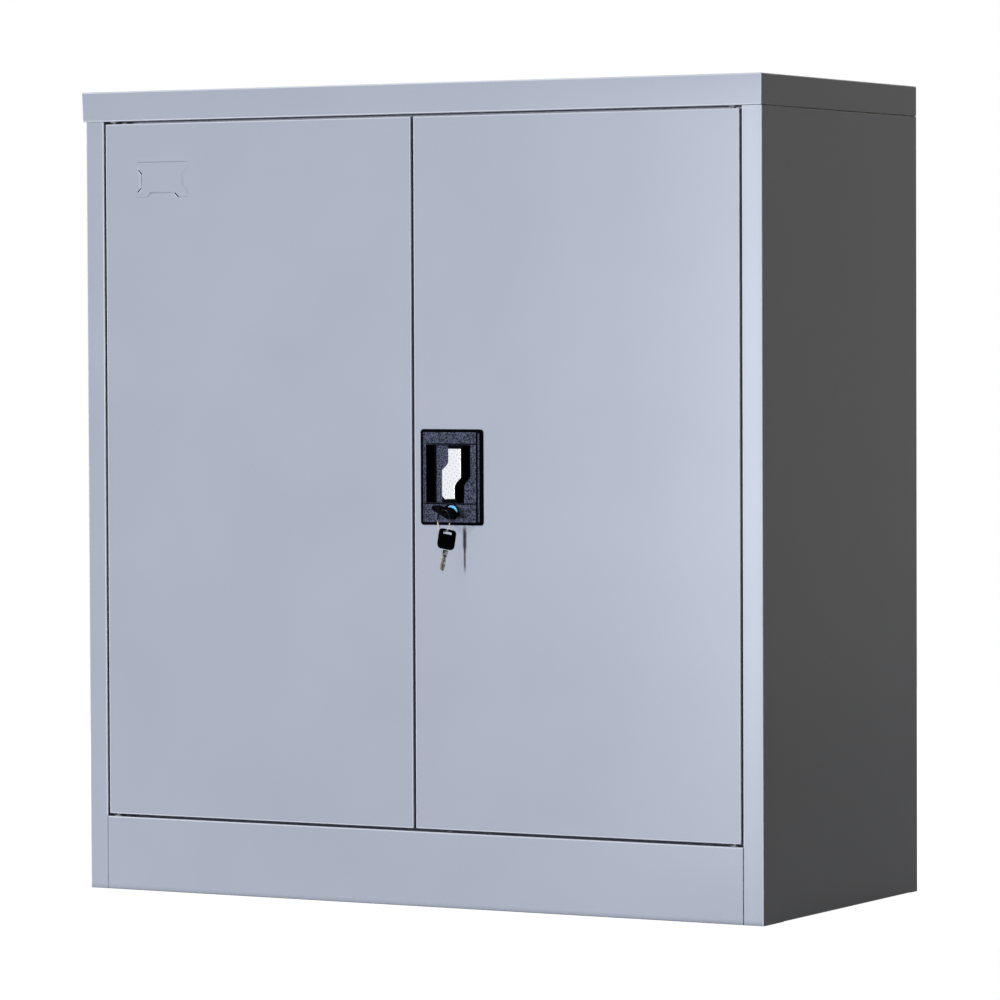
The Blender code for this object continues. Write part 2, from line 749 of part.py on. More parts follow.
def card_outline(shrink=0.0):
    """The card holder's outline: a straight top, the other sides stepped in between ears."""
    left, right = -CARD_WIDTH / 2 + shrink, CARD_WIDTH / 2 - shrink
    base, top = -CARD_HEIGHT / 2 + shrink, CARD_HEIGHT / 2 - shrink
    side, foot = CARD_SIDE_STEP, CARD_FOOT_STEP
    ear, ear_wide = CARD_EAR_HEIGHT, CARD_EAR_WIDTH
    half = [(right, top), (right, top - ear), (right - side, top - ear - side),
            (right - side, base + ear + side), (right, base + ear), (right, base),
            (right - ear_wide, base), (right - ear_wide - foot, base + foot)]
    return half + [(-x, y) for x, y in reversed(half)]


def press_card_holder(door):
    """Raise the outline from the skin by a boss in front and a pocket behind, then lance it."""
    x = -DOOR_EDGE + CARD_LEFT + CARD_WIDTH / 2
    z = DOOR_TOP - CARD_TOP - CARD_HEIGHT / 2
    depth = CARD_RISE + SHEET / 2
    boss = cutter(flat_mesh("card_boss", [card_outline()], depth), "card_boss",
                  (x, FRONT + (SHEET - depth) / 2, z), FACING)
    boolean(door, boss, "UNION")
    depth = CARD_RISE + OVERRUN
    pocket = cutter(flat_mesh("card_pocket", [card_outline(SHEET)], depth), "card_pocket",
                    (x, FRONT + SHEET - CARD_RISE + depth / 2, z), FACING)
    boolean(door, pocket)
    right, base, top = CARD_WIDTH / 2, -CARD_HEIGHT / 2, CARD_HEIGHT / 2
    side, foot = CARD_SIDE_STEP / 2, CARD_FOOT_STEP / 2
    spots = [(-right + side, top - CARD_EAR_HEIGHT - side, -45),
             (-right + side, base + CARD_EAR_HEIGHT + side, 45),
             (right - CARD_EAR_WIDTH - foot, base + foot, -45)]
    for number, (dx, dz, turn) in enumerate(spots):
        slit = box_mesh("card_slit", (-CARD_SLIT_LENGTH / 2, -CARD_SLIT / 2, -OVERRUN),
                        (CARD_SLIT_LENGTH / 2, CARD_SLIT / 2, OVERRUN))
        way = FACING @ Matrix.Rotation(math.radians(turn), 3, "Z")
        boolean(door, cutter(slit, f"card_slit_{number}", (x + dx, FRONT, z + dz), way))


def make_left_door():
    door = make_door_pan("left_door", -1)
    press_card_holder(door)
    return door


def make_right_door():
    door = make_door_pan("right_door", 1)
    low = (PLATE_X + BOX_INSET - FIT, FRONT - OVERRUN, PLATE_BASE + BOX_INSET - FIT)
    high = (PLATE_X + PLATE_WIDTH - BOX_INSET + FIT, FRONT + OVERRUN,
            PLATE_BASE + PLATE_HEIGHT - BOX_INSET + FIT)
    cut_box(door, "lock_cut_out", low, high)
    rod_hole(door, "upper_rod_hole", CAM_X + ROD_ARM, DOOR_TOP)
    rod_hole(door, "lower_rod_hole", CAM_X - ROD_ARM, DOOR_BASE)
    return door


# Lock housing and handle.  Outlines here are in the plate's own plane, from its lower left
def ease_out(share):
    return math.sin(math.pi / 2 * share)


def ease_in(share):
    return 1 - math.cos(math.pi / 2 * share)


def wave_edge(x_top, x_base, top, base, bend_top, bend_length, ease=ease_out):
    """Points down a wavy edge: straight at x_top, a bend with one corner, straight at x_base."""
    points = [(x_top, top)]
    for step in range(WAVE_STEPS + 1):
        share = step / WAVE_STEPS
        points.append((x_top + (x_base - x_top) * ease(share), bend_top - bend_length * share))
    points.append((x_base, base))
    return points


POCKET_TOP = POCKET_BASE + POCKET_HEIGHT
GRIP_LEFT = POCKET_RIGHT - FINGER_GAP - GRIP_WIDTH
GRIP_RIGHT = POCKET_RIGHT - FINGER_GAP


def pocket_outline():
    right = wave_edge(POCKET_RIGHT, POCKET_RIGHT - WAVE_SHIFT, POCKET_TOP, POCKET_BASE,
                      POCKET_TOP - WAVE_RIGHT_DROP, WAVE_LENGTH)
    return [(POCKET_LEFT, POCKET_BASE), (POCKET_LEFT, POCKET_TOP)] + right


def grip_outline():
    top, base = POCKET_TOP - GRIP_PLAY, POCKET_BASE + GRIP_PLAY
    right = wave_edge(GRIP_RIGHT, GRIP_RIGHT - WAVE_SHIFT, top, base,
                      POCKET_TOP - WAVE_RIGHT_DROP, WAVE_LENGTH)
    return [(GRIP_LEFT, base), (GRIP_LEFT, top)] + right


def insert_outline():
    top, base = POCKET_TOP - INSERT_END_GAP, POCKET_BASE + INSERT_END_GAP
    right_x = GRIP_RIGHT - EDGE_ROUND
    right = wave_edge(right_x, right_x - WAVE_SHIFT, top, base,
                      POCKET_TOP - WAVE_RIGHT_DROP, WAVE_LENGTH)
    left_x = right_x - INSERT_WIDTH
    left = wave_edge(left_x, left_x - WAVE_SHIFT, top, base, top - WAVE_LEFT_DROP,
                     WAVE_LEFT_LENGTH, ease_in)
    chamfer = INSERT_END_GAP
    left[-1] = (left[-1][0], base + chamfer)
    return right + [(left[-1][0] + chamfer, base)] + list(reversed(left))


def on_plate(y):
    return Vector((PLATE_X, y, PLATE_BASE))


def plate_part(name, outlines, front, back, material, bevel=0):
    """A flat piece of the lock, between two depths, from outlines in the plate's plane."""
    mesh = flat_mesh(name, outlines, back - front, bevel)
    return add_part(name, mesh, material, on_plate((front + back) / 2), FACING)


def make_lock_housing():
    housing = plate_part("lock_housing",
                         [rounded_box((0, 0), (PLATE_WIDTH, PLATE_HEIGHT), PLATE_CORNER)],
                         PLATE_FRONT, FRONT - FIT, BLACK_ABS, PLATE_EDGE)
    box = box_mesh("housing_box",
                   (PLATE_X + BOX_INSET, FRONT - PLATE_PROUD / 2, PLATE_BASE + BOX_INSET),
                   (PLATE_X + PLATE_WIDTH - BOX_INSET, BOX_BACK,
                    PLATE_BASE + PLATE_HEIGHT - BOX_INSET))
    boolean(housing, cutter(box, "housing_box"), "UNION")
    for number, x in enumerate((RIB_INSET, PLATE_WIDTH - RIB_INSET - RIB_WIDTH)):
        rib = box_mesh("rib", (PLATE_X + x, PLATE_FRONT - RIB_RISE, PLATE_BASE + RIB_INSET),
                       (PLATE_X + x + RIB_WIDTH, PLATE_FRONT + RIB_RISE,
                        PLATE_BASE + PLATE_HEIGHT - RIB_INSET))
        boolean(housing, cutter(rib, f"housing_rib_{number}"), "UNION")
    depth = BOX_BACK - POCKET_FLOOR - PLATE_FRONT + OVERRUN
    pocket = cutter(flat_mesh("pocket", [pocket_outline()], depth), "finger_pocket",
                    on_plate(BOX_BACK - POCKET_FLOOR - depth / 2), FACING)
    boolean(housing, pocket)
    reach = PEG_RADIUS + PEG_PLAY
    peg = peg_place()
    cut_box(housing, "peg_slot",
            (peg.x - HANDLE_TRAVEL - reach, BOX_BACK - POCKET_FLOOR - OVERRUN, peg.z - reach),
            (peg.x + reach, BOX_BACK + OVERRUN, peg.z + reach))
    cut_hole(housing, "barrel_hole", (LOCK_X, FRONT, LOCK_Z), BARREL_RADIUS + FIT,
             BOX_DEPTH + OVERRUN, FACING, ROUND_STEPS)
    return housing


def peg_place():
    return Vector((CAM_X + HANDLE_TRAVEL / 2, BOX_BACK, CAM_Z + PEG_ARM))


def make_grip():
    front = PLATE_FRONT + GRIP_PROUD
    back = BOX_BACK - POCKET_FLOOR - FIT
    grip = plate_part("handle_grip", [grip_outline()], front, back, BLACK_ABS, EDGE_ROUND)
    bm = bmesh.new()
    length = CAM_BACK - back + EDGE_ROUND
    bmesh.ops.create_cone(bm, cap_ends=True, segments=SMALL_STEPS, radius1=PEG_RADIUS,
                          radius2=PEG_RADIUS, depth=length)
    peg = peg_place()
    boolean(grip, cutter(mesh_from(bm, "grip_peg"), "grip_peg",
                         (peg.x, CAM_BACK - length / 2, peg.z), FACING), "UNION")
    return grip


def make_insert():
    back = PLATE_FRONT + GRIP_PROUD - FIT
    return plate_part("handle_insert", [insert_outline()], back - INSERT_RISE, back, CHROME,
                      EDGE_ROUND)


def slot_outline(centre, direction, half_length, radius):
    """A slot's outline: two half circles about a centre, along a direction in degrees."""
    way = Vector((math.cos(math.radians(direction)), math.sin(math.radians(direction))))
    ahead = Vector(centre) + way * half_length
    behind = Vector(centre) - way * half_length
    return (arc(ahead, radius, direction - 90, direction + 90)
            + arc(behind, radius, direction + 90, direction + 270))


def make_cam():
    """A three-armed plate: rod holes to the right and left, the peg's slot above."""
    swing = math.degrees(CAM_HALF_SWING)
    arms = ((-swing, CAM_ROD_RADIUS, ROD_RADIUS + 2 * ROD_PLAY + ROD_SIDE_PLAY),
            (90 - swing, math.hypot(PEG_ARM, HANDLE_TRAVEL / 2), PEG_RADIUS + PEG_PLAY),
            (180 - swing, CAM_ROD_RADIUS, ROD_RADIUS + 2 * ROD_PLAY + ROD_SIDE_PLAY))
    rim = CAM_SHEET
    outline = []
    for direction, reach, hole in arms:
        centre = (reach * math.cos(math.radians(direction)),
                  reach * math.sin(math.radians(direction)))
        outline += arc(centre, hole + rim, direction - 90, direction + 90)
    outline += arc((0, 0), CAM_BOSS, 225 - swing, 315 - swing)
    rod_slots = [slot_outline((side * ROD_ARM, -side * ROD_DROP), 0, ROD_SIDE_PLAY,
                              ROD_RADIUS + ROD_PLAY) for side in (1, -1)]
    peg_slot = slot_outline((HANDLE_TRAVEL / 2, PEG_ARM), 90 - swing, PEG_PLAY,
                            PEG_RADIUS + PEG_PLAY / 2)
    bore = arc((0, 0), CAM_PIVOT_RADIUS + CAM_PLAY, 0, 360, SMALL_STEPS)[:-1]
    mesh = flat_mesh("latch_cam", [outline, bore, peg_slot] + rod_slots, CAM_SHEET)
    return add_part("latch_cam", mesh, ZINC,
                    (CAM_X, (CAM_FRONT + CAM_BACK) / 2, CAM_Z), FACING)


def make_cam_pivot():
    """A headed stud behind the housing that the cam turns on."""
    shank = CAM_BACK - BOX_BACK
    profile = [(0, shank), (CAM_PIVOT_RADIUS, shank), (CAM_PIVOT_RADIUS, 0),
               (CAM_PIVOT_HEAD, 0), (CAM_PIVOT_HEAD, -CAM_PIVOT_HEAD_DEPTH),
               (0, -CAM_PIVOT_HEAD_DEPTH)]
    return turned("cam_pivot", profile, ZINC, (CAM_X, CAM_BACK + FIT, CAM_Z), FACING,
                  SMALL_STEPS)


def make_rod(name, side, tip):
    """Round bar with one end bent forward into the cam. side is 1 for the upper rod."""
    x = CAM_X + side * ROD_ARM
    hook_z = CAM_Z - side * ROD_DROP
    path = [(CAM_FRONT + FIT, hook_z)] + rod_bend(side, hook_z)
    path.append((ROD_Y, tip))
    return bar(name, [(x, y, z) for y, z in path], ROD_RADIUS, ZINC)


def rod_bend(side, hook_z):
    """The quarter bend from the hook, which points along Y, into the upright bar."""
    centre_y, centre_z = ROD_Y - ROD_BEND, hook_z + side * ROD_BEND
    turns = [90 * step / ARC_STEPS for step in range(ARC_STEPS + 1)]
    return [(centre_y + ROD_BEND * math.sin(math.radians(turn)),
             centre_z - side * ROD_BEND * math.cos(math.radians(turn))) for turn in turns]


def bar(name, points, radius, material):
    curve = bpy.data.curves.new(name, "CURVE")
    curve.dimensions = "3D"
    curve.bevel_depth = radius
    curve.bevel_resolution = 2
    curve.use_fill_caps = True
    spline = curve.splines.new("POLY")
    spline.points.add(len(points) - 1)
    origin = Vector(points[-1])
    for point, place in zip(spline.points, points):
        point.co = (*(Vector(place) - origin), 1)
    curve.materials.append(material)
    part = bpy.data.objects.new(name, curve)
    part.location = origin
    PARTS.objects.link(part)
    return part


def make_guide(name, x, z):
    """An angle on the door's skin with a hole that steadies a rod."""
    leg = ROD_Y + ROD_RADIUS + 2 * ROD_PLAY + GUIDE_SHEET - SKIN_BACK - FIT
    section = [(0, 0, GUIDE_FOOT), (0, 0, 0), (0, leg, 0)]
    guide = folded_strip(name, section, (GUIDE_WIDTH, 0, 0),
                         ((GUIDE_WIDTH / 2, leg / 2, 0), (0, 0, -1)), ZINC,
                         (x - GUIDE_WIDTH / 2, SKIN_BACK + FIT, z), GUIDE_SHEET, GUIDE_SHEET)
    rod_hole(guide, f"{name}_hole", x, z)
    return guide


def make_lock_cover():
    """A shallow tray over the cam, open to the housing, notched where the rods leave it."""
    low = Vector((PLATE_X - COVER_MARGIN + BOX_INSET, SKIN_BACK + FIT,
                  PLATE_BASE - COVER_MARGIN))
    high = Vector((PLATE_X + PLATE_WIDTH + COVER_MARGIN - BOX_INSET,
                   DOOR_BACK - SHEET - FIT,
                   PLATE_BASE + PLATE_HEIGHT + COVER_MARGIN))
    cover = pan("lock_cover", low, high, (0, -1, 0), 0, BLACK_ABS, COVER_SHEET, COVER_CORNER)
    for side, edge in ((1, high.z), (-1, low.z)):
        x = CAM_X + side * ROD_ARM
        cut_box(cover, f"cover_notch_{side}",
                (x - COVER_NOTCH, low.y - OVERRUN, edge - COVER_CORNER - OVERRUN),
                (x + COVER_NOTCH, ROD_Y + COVER_NOTCH, edge + COVER_CORNER + OVERRUN))
    return cover


# Key lock: barrel, plug and tongue
def make_barrel():
    inner = PLUG_RADIUS + FIT
    top, seat = LOCK_FLANGE_DEPTH + FIT, FIT
    profile = [(LOCK_FLANGE_RADIUS - PLATE_EDGE, top), (LOCK_FLANGE_RADIUS, top - PLATE_EDGE),
               (LOCK_FLANGE_RADIUS, seat), (BARREL_RADIUS, seat),
               (BARREL_RADIUS, top - BARREL_LENGTH), (inner, top - BARREL_LENGTH),
               (inner, top)]
    return turned("lock_barrel", profile, CHROME, (LOCK_X, PLATE_FRONT, LOCK_Z), FACING,
                  ROUND_STEPS, True)


def make_plug():
    top = LOCK_FLANGE_DEPTH + FIT
    base = top - BARREL_LENGTH - PLUG_TAIL
    profile = [(0, top), (PLUG_RADIUS, top), (PLUG_RADIUS, base), (0, base)]
    plug = turned("lock_plug", profile, CHROME, (LOCK_X, PLATE_FRONT, LOCK_Z), FACING,
                  SMALL_STEPS)
    for name, width, length in (("keyway", BLADE_WIDTH, SHANK_LENGTH + BLADE_LENGTH),
                                ("keyway_mouth", SHANK_WIDTH, SHANK_LENGTH)):
        half_width = width / 2 + KEYWAY_PLAY
        half_height = BLADE_THICKNESS / 2 + KEYWAY_PLAY
        slot = box_mesh(name, (-half_width, KEY_SHOW - length - KEYWAY_PLAY, -half_height),
                        (half_width, OVERRUN, half_height))
        boolean(plug, cutter(slot, name, (LOCK_X, LOCK_FACE, LOCK_Z), key_frame()))
    return plug


def key_frame():
    """A key in the lock: its own X across, Y outwards along the key, Z through it."""
    tilt = math.radians(LOCK_KEY_TILT_DEG)
    across = Vector((math.cos(tilt), 0, -math.sin(tilt)))
    out = Vector((0, -1, 0))
    return Matrix((across, out, across.cross(out))).transposed()


def make_tongue():
    """The plate on the plug's tail that turns up behind the grip when the key is turned."""
    radius = TONGUE_WIDTH / 2
    outline = arc((TONGUE_REACH - radius, 0), radius, -90, 90) + arc((0, 0), radius, 90, 270)
    front = LOCK_FACE + BARREL_LENGTH + PLUG_TAIL + FIT
    mesh = flat_mesh("lock_tongue", [outline], TONGUE_SHEET)
    return add_part("lock_tongue", mesh, ZINC, (LOCK_X, front + TONGUE_SHEET / 2, LOCK_Z),
                    FACING)


# Keys.  A key's own frame: Y from the blade to the bow's end, origin where the bow starts
def bow_outlines(hole_length):
    half = BOW_WIDTH / 2
    waist = SHANK_WIDTH / 2 + BOW_WAIST
    right = [(waist, 0)] + arc((half - BOW_CORNER, BOW_WAIST + BOW_CORNER), BOW_CORNER,
                               -60, 0)
    right += arc((half - BOW_CORNER, BOW_LENGTH - BOW_CORNER), BOW_CORNER, 0, 90)
    outline = right + [(-x, y) for x, y in reversed(right)]
    top = BOW_LENGTH - BOW_BAR
    hole = rounded_box((-BOW_HOLE_WIDTH / 2, top - hole_length), (BOW_HOLE_WIDTH / 2, top),
                       HOLE_CORNER, 2)
    return [outline, hole]


def blade_outline():
    """Shank, shoulder, and a blade with one row of notches, down to a pointed tip."""
    shank, half = SHANK_WIDTH / 2, BLADE_WIDTH / 2
    end = -SHANK_LENGTH - BLADE_LENGTH
    pitch = BLADE_LENGTH / (KEY_NOTCH_COUNT + 2)
    cuts = []
    for number in range(KEY_NOTCH_COUNT):
        y = -SHANK_LENGTH - pitch * (number + 1)
        depth = KEY_NOTCH if number % 2 == 0 else KEY_NOTCH * KEY_SHALLOW_SHARE
        cuts += [(half, y + pitch / 2), (half - depth, y), (half, y - pitch / 2 + FIT)]
    return ([(-shank, -FIT), (-shank, -SHANK_LENGTH), (-half, -SHANK_LENGTH),
             (-half, end + half), (0, end), (half, end + half)] + list(reversed(cuts))
            + [(half, -SHANK_LENGTH), (shank, -SHANK_LENGTH), (shank, -FIT)])


def make_key(prefix, hole_length, place, turn):
    bow = add_part(f"{prefix}_bow", flat_mesh(f"{prefix}_bow", bow_outlines(hole_length),
                                              BOW_THICKNESS, EDGE_ROUND),
                   BLACK_ABS, place, turn)
    blade = add_part(f"{prefix}_blade", flat_mesh(f"{prefix}_blade", [blade_outline()],
                                                  BLADE_THICKNESS), ZINC, place, turn)
    return bow, blade


def ring_seat():
    """Where the ring hangs on the end bar of the bow in the lock, right of its middle."""
    out = LOCK_FACE - KEY_SHOW - BOW_LENGTH + BOW_BAR / 2
    return Vector((LOCK_X, out, LOCK_Z)) + key_frame().col[0] * RING_SLIDE


def ring_centre():
    """The ring lies askew over the tilted bar and rests on the bar's inner edge."""
    tilt, turn = math.radians(LOCK_KEY_TILT_DEG), math.radians(RING_TURN_DEG)
    rise = (BOW_BAR / 2 + RING_WIRE) * math.tan(turn) * math.tan(tilt)
    lift = (BOW_THICKNESS / 2 + RING_WIRE) / math.cos(tilt) + rise
    return ring_seat() + Vector((0, 0, lift - RING_RADIUS))


def ring_way():
    turn = math.radians(RING_TURN_DEG)
    return Vector((math.sin(turn), -math.cos(turn), 0))


def make_ring():
    bpy.ops.mesh.primitive_torus_add(major_radius=RING_RADIUS, minor_radius=RING_WIRE,
                                     major_segments=ROUND_STEPS,
                                     minor_segments=RING_SIDES, location=ring_centre())
    ring = bpy.context.object
    ring.name = "key_ring"
    way, up = ring_way(), Vector((0, 0, 1))
    ring.rotation_euler = Matrix((way, up, way.cross(up))).transposed().to_euler()
    shade_round(ring.data)
    ring.data.materials.append(ZINC)
    for group in list(ring.users_collection):
        group.objects.unlink(ring)
    PARTS.objects.link(ring)
    return ring


def ring_foot():
    return ring_centre() - Vector((0, 0, RING_RADIUS))


def spare_frame():
    face = math.radians(SPARE_FACE_DEG)
    through = Vector((math.sin(face), -math.cos(face), 0))
    across = Vector((math.cos(face), math.sin(face), 0))
    tilt = Matrix.Rotation(math.radians(SPARE_TILT_DEG), 3, through)
    up = tilt @ Vector((0, 0, 1))
    across = tilt @ across
    return Matrix((across, up, across.cross(up))).transposed()


def make_spare_key():
    """The ring's wire sits in a corner of the bow's slot, so the key hangs aslant."""
    frame = spare_frame()
    aside = RING_WIRE + RING_PLAY - BOW_HOLE_WIDTH / 2
    hang = BOW_LENGTH - BOW_BAR - RING_WIRE - RING_PLAY
    return make_key("spare_key", SPARE_BOW_HOLE,
                    ring_foot() - frame @ Vector((aside, hang, 0)), frame)


def make_buffers():
    length = STOP_Y - DOOR_BACK - 2 * FIT
    profile = [(0, length), (BUFFER_NOSE, length), (BUFFER_RADIUS, length / 2),
               (BUFFER_RADIUS, 0), (0, 0)]
    levels = (("upper", DOOR_TOP - DOOR_LIP / 2), ("lower", KICK_HEIGHT + FLOOR_RISE / 2))
    for level, z in levels:
        for side, hand in ((-1, "left"), (1, "right")):
            turned(f"{level}_{hand}_buffer", profile, RUBBER,
                   (side * BUFFER_FROM_MIDDLE, STOP_Y - FIT, z), FACING, SMALL_STEPS)


def make_body():
    make_cap()
    make_side_panel("left_side_panel", -1)
    make_side_panel("right_side_panel", 1)
    make_kick_plate()
    make_floor_panel()
    make_header_rail()
    make_back_panel()
    make_shelving()
    make_buffers()
    for side, hand in ((-1, "left"), (1, "right")):
        make_bush(f"upper_{hand}_pivot_bush", side, CAP_BASE, 1)
        make_bush(f"lower_{hand}_pivot_bush", side, KICK_HEIGHT, -1)


def make_pins(hand, side):
    return (make_pin(f"upper_{hand}_pivot_pin", side, CAP_BASE, 1, DOOR_TOP),
            make_pin(f"lower_{hand}_pivot_pin", side, KICK_HEIGHT, -1, DOOR_BASE))


def make_left_leaf():
    hinge = joint_empty("left_door_hinge", pivot_place(-1, 0))
    hold(hinge, make_left_door(), make_channel("left_door_channel", LEFT_CHANNEL_X),
         *make_pins("left", -1))


def make_right_leaf():
    hinge = joint_empty("right_door_hinge", pivot_place(1, 0))
    hold(hinge, make_right_door(), make_channel("right_door_channel", RIGHT_CHANNEL_X),
         *make_pins("right", 1), make_lock_housing(), make_lock_cover(), make_barrel(),
         make_cam_pivot(),
         make_guide("upper_rod_guide", CAM_X + ROD_ARM, DOOR_TOP - GUIDE_FROM_END),
         make_guide("lower_rod_guide", CAM_X - ROD_ARM, DOOR_BASE + GUIDE_FROM_END))
    slide = joint_empty("handle_slide", peg_place())
    cam_axis = joint_empty("cam_turn", (CAM_X, CAM_BACK, CAM_Z))
    key_axis = joint_empty("key_turn", (LOCK_X, LOCK_FACE, LOCK_Z))
    upper = joint_empty("upper_rod_slide", (CAM_X + ROD_ARM, ROD_Y, DOOR_TOP))
    lower = joint_empty("lower_rod_slide", (CAM_X - ROD_ARM, ROD_Y, DOOR_BASE))
    hold(hinge, slide, cam_axis, key_axis, upper, lower)
    hold(slide, make_grip(), make_insert())
    hold(cam_axis, make_cam())
    hold(upper, make_rod("upper_rod", 1, DOOR_TOP + ROD_TIP_SHOW))
    hold(lower, make_rod("lower_rod", -1, DOOR_BASE - ROD_TIP_SHOW))
    place = Vector((LOCK_X, LOCK_FACE - KEY_SHOW, LOCK_Z))
    hold(key_axis, make_plug(), make_tongue(),
         *make_key("lock_key", LOCK_BOW_HOLE, place, key_frame()))
    ring_axis = joint_empty("ring_turn", ring_centre())
    spare_axis = joint_empty("spare_key_swing", ring_foot())
    hold(key_axis, ring_axis)
    hold(ring_axis, make_ring(), spare_axis)
    hold(spare_axis, *make_spare_key())


make_body()
make_left_leaf()
make_right_leaf()
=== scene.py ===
"""Dresses the steel storage cupboard: its paint, plating and plastics, the lock, the keys and
the small fasteners, with a plain studio round it.  Metres, +Z up, the doors facing -Y."""
import json
import math

import bmesh
import bpy
from mathutils import Matrix, Vector


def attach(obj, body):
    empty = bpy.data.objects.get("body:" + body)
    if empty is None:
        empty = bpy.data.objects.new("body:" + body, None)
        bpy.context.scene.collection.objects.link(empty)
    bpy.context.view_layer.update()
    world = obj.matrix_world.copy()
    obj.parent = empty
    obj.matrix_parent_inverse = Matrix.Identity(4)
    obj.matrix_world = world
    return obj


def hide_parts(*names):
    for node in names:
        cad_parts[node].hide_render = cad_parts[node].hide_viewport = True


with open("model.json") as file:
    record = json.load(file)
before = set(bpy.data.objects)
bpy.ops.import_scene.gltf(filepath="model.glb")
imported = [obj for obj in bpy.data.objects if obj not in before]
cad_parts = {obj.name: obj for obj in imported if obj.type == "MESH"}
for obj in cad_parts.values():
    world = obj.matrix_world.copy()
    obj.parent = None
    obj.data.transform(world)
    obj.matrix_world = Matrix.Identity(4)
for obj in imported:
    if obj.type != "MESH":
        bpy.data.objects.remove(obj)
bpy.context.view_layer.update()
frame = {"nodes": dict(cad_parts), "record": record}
NODES = frame["nodes"]
MM = 0.001


# Modelling by hand: what is worked on is selected in code, then shaped with operators
def deselect():
    if bpy.context.mode != "OBJECT":
        bpy.ops.object.mode_set(mode="OBJECT")
    bpy.ops.object.select_all(action="DESELECT")


def work_on(piece):
    deselect()
    piece.select_set(True)
    bpy.context.view_layer.objects.active = piece


def named(name):
    """Name the piece just added, and put its place into its mesh."""
    piece = bpy.context.object
    piece.name = piece.data.name = name
    bpy.ops.object.transform_apply(location=True, rotation=True, scale=True)
    return piece


def block(name, low, high):
    deselect()
    low, high = Vector(low), Vector(high)
    bpy.ops.mesh.primitive_cube_add(size=1, location=(low + high) / 2, scale=high - low)
    return named(name)


ALONG_Y = (math.radians(90), 0, 0)


def rod(name, centre, radius, depth, sides):
    """A cylinder that lies from front to back."""
    deselect()
    bpy.ops.mesh.primitive_cylinder_add(vertices=sides, radius=radius, depth=depth,
                                        location=centre, rotation=ALONG_Y)
    return named(name)


def grid(name, columns, rows):
    """A sheet from -1 to 1 in x and in z, to be bent to a shape."""
    deselect()
    bpy.ops.mesh.primitive_grid_add(x_subdivisions=columns, y_subdivisions=rows, size=2,
                                    rotation=ALONG_Y)
    return named(name)


def edit(piece, kind, chosen):
    """Go into edit mode with only the faces or edges that pass a test selected."""
    work_on(piece)
    bpy.ops.object.mode_set(mode="EDIT")
    bpy.ops.mesh.select_mode(type=kind)
    bpy.ops.mesh.select_all(action="DESELECT")
    bm = bmesh.from_edit_mesh(piece.data)
    bm.normal_update()
    for item in (bm.faces if kind == "FACE" else bm.edges):
        if chosen(item):
            item.select_set(True)
    bmesh.update_edit_mesh(piece.data)


def done():
    bpy.ops.object.mode_set(mode="OBJECT")


def anything(item):
    """A test that every face or edge passes."""
    return True


def facing(*way):
    """A test for faces that look along a direction."""
    way = Vector(way)
    return lambda face: face.normal.dot(way) > 0.95


def running(*way):
    """A test for straight edges that run along a direction."""
    way = Vector(way)

    def test(edge):
        line = edge.verts[1].co - edge.verts[0].co
        return line.length > 0 and abs(line.normalized().dot(way)) > 0.999
    return test


def sharp(angle):
    """A test for edges whose faces meet at more than an angle in degrees."""
    return lambda edge: len(edge.link_faces) == 2 and edge.calc_face_angle(0) > math.radians(angle)


def sharp_before(angle, depth):
    """A test for sharp edges that lie wholly in front of a depth."""
    return lambda edge: sharp(angle)(edge) and max(vert.co.y for vert in edge.verts) < depth


def round_edges(piece, chosen, width, segments=3):
    edit(piece, "EDGE", chosen)
    bpy.ops.mesh.bevel(offset=width, segments=segments, affect="EDGES", clamp_overlap=True)
    done()


def apply(piece, kind, **settings):
    work_on(piece)
    bpy.ops.object.modifier_add(type=kind)
    step = piece.modifiers[-1]
    for key, value in settings.items():
        setattr(step, key, value)
    bpy.ops.object.modifier_apply(modifier=step.name)


def join_or_cut(piece, tool, operation):
    apply(piece, "BOOLEAN", operation=operation, object=tool, solver="EXACT")
    bpy.data.objects.remove(tool)


def merge(*pieces):
    """Put pieces into the mesh of the first."""
    deselect()
    for piece in pieces:
        piece.select_set(True)
    bpy.context.view_layer.objects.active = pieces[0]
    bpy.ops.object.join()


def face_outwards(piece):
    edit(piece, "FACE", anything)
    bpy.ops.mesh.normals_make_consistent(inside=False)
    done()


def smooth(piece, angle=40):
    work_on(piece)
    bpy.ops.object.shade_smooth_by_angle(angle=math.radians(angle))
    apply(piece, "WEIGHTED_NORMAL", keep_sharp=True)


def place(piece, matrix):
    """Move a piece that was shaped in its own frame to where it goes."""
    work_on(piece)
    piece.matrix_world = matrix
    bpy.ops.object.transform_apply(location=True, rotation=True, scale=True)


def duplicate(piece, name):
    twin = piece.copy()
    twin.data = piece.data.copy()
    twin.name = twin.data.name = name
    bpy.context.collection.objects.link(twin)
    return twin


def copy_at(piece, name, matrix):
    twin = duplicate(piece, name)
    place(twin, matrix)
    return twin


def paint(piece, *finishes):
    piece.data.materials.clear()
    for finish in finishes:
        piece.data.materials.append(finish)


def finish_faces(piece, number, chosen):
    """Give the chosen faces the piece's finish of that number."""
    for face in piece.data.polygons:
        if chosen(face):
            face.material_index = number


def stands_for(piece, body, slot, *nodes):
    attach(piece, body)
    if nodes:
        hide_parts(*nodes)


def copy_of_node(node, name):
    """A closed, editable copy of a CAD solid: its loose triangles merged into whole faces."""
    deselect()
    piece = duplicate(NODES[node], name)
    piece.parent = None
    for key in list(piece.keys()):
        del piece[key]
    piece.matrix_world = Matrix()
    edit(piece, "FACE", anything)
    bpy.ops.mesh.remove_doubles(threshold=0.005 * MM)
    bpy.ops.mesh.dissolve_limited(angle_limit=math.radians(0.3))
    done()
    return piece


def slanting(face):
    """Whether a face is part of a fold, so that it looks along no axis."""
    return max(abs(way) for way in face.normal) < 0.995


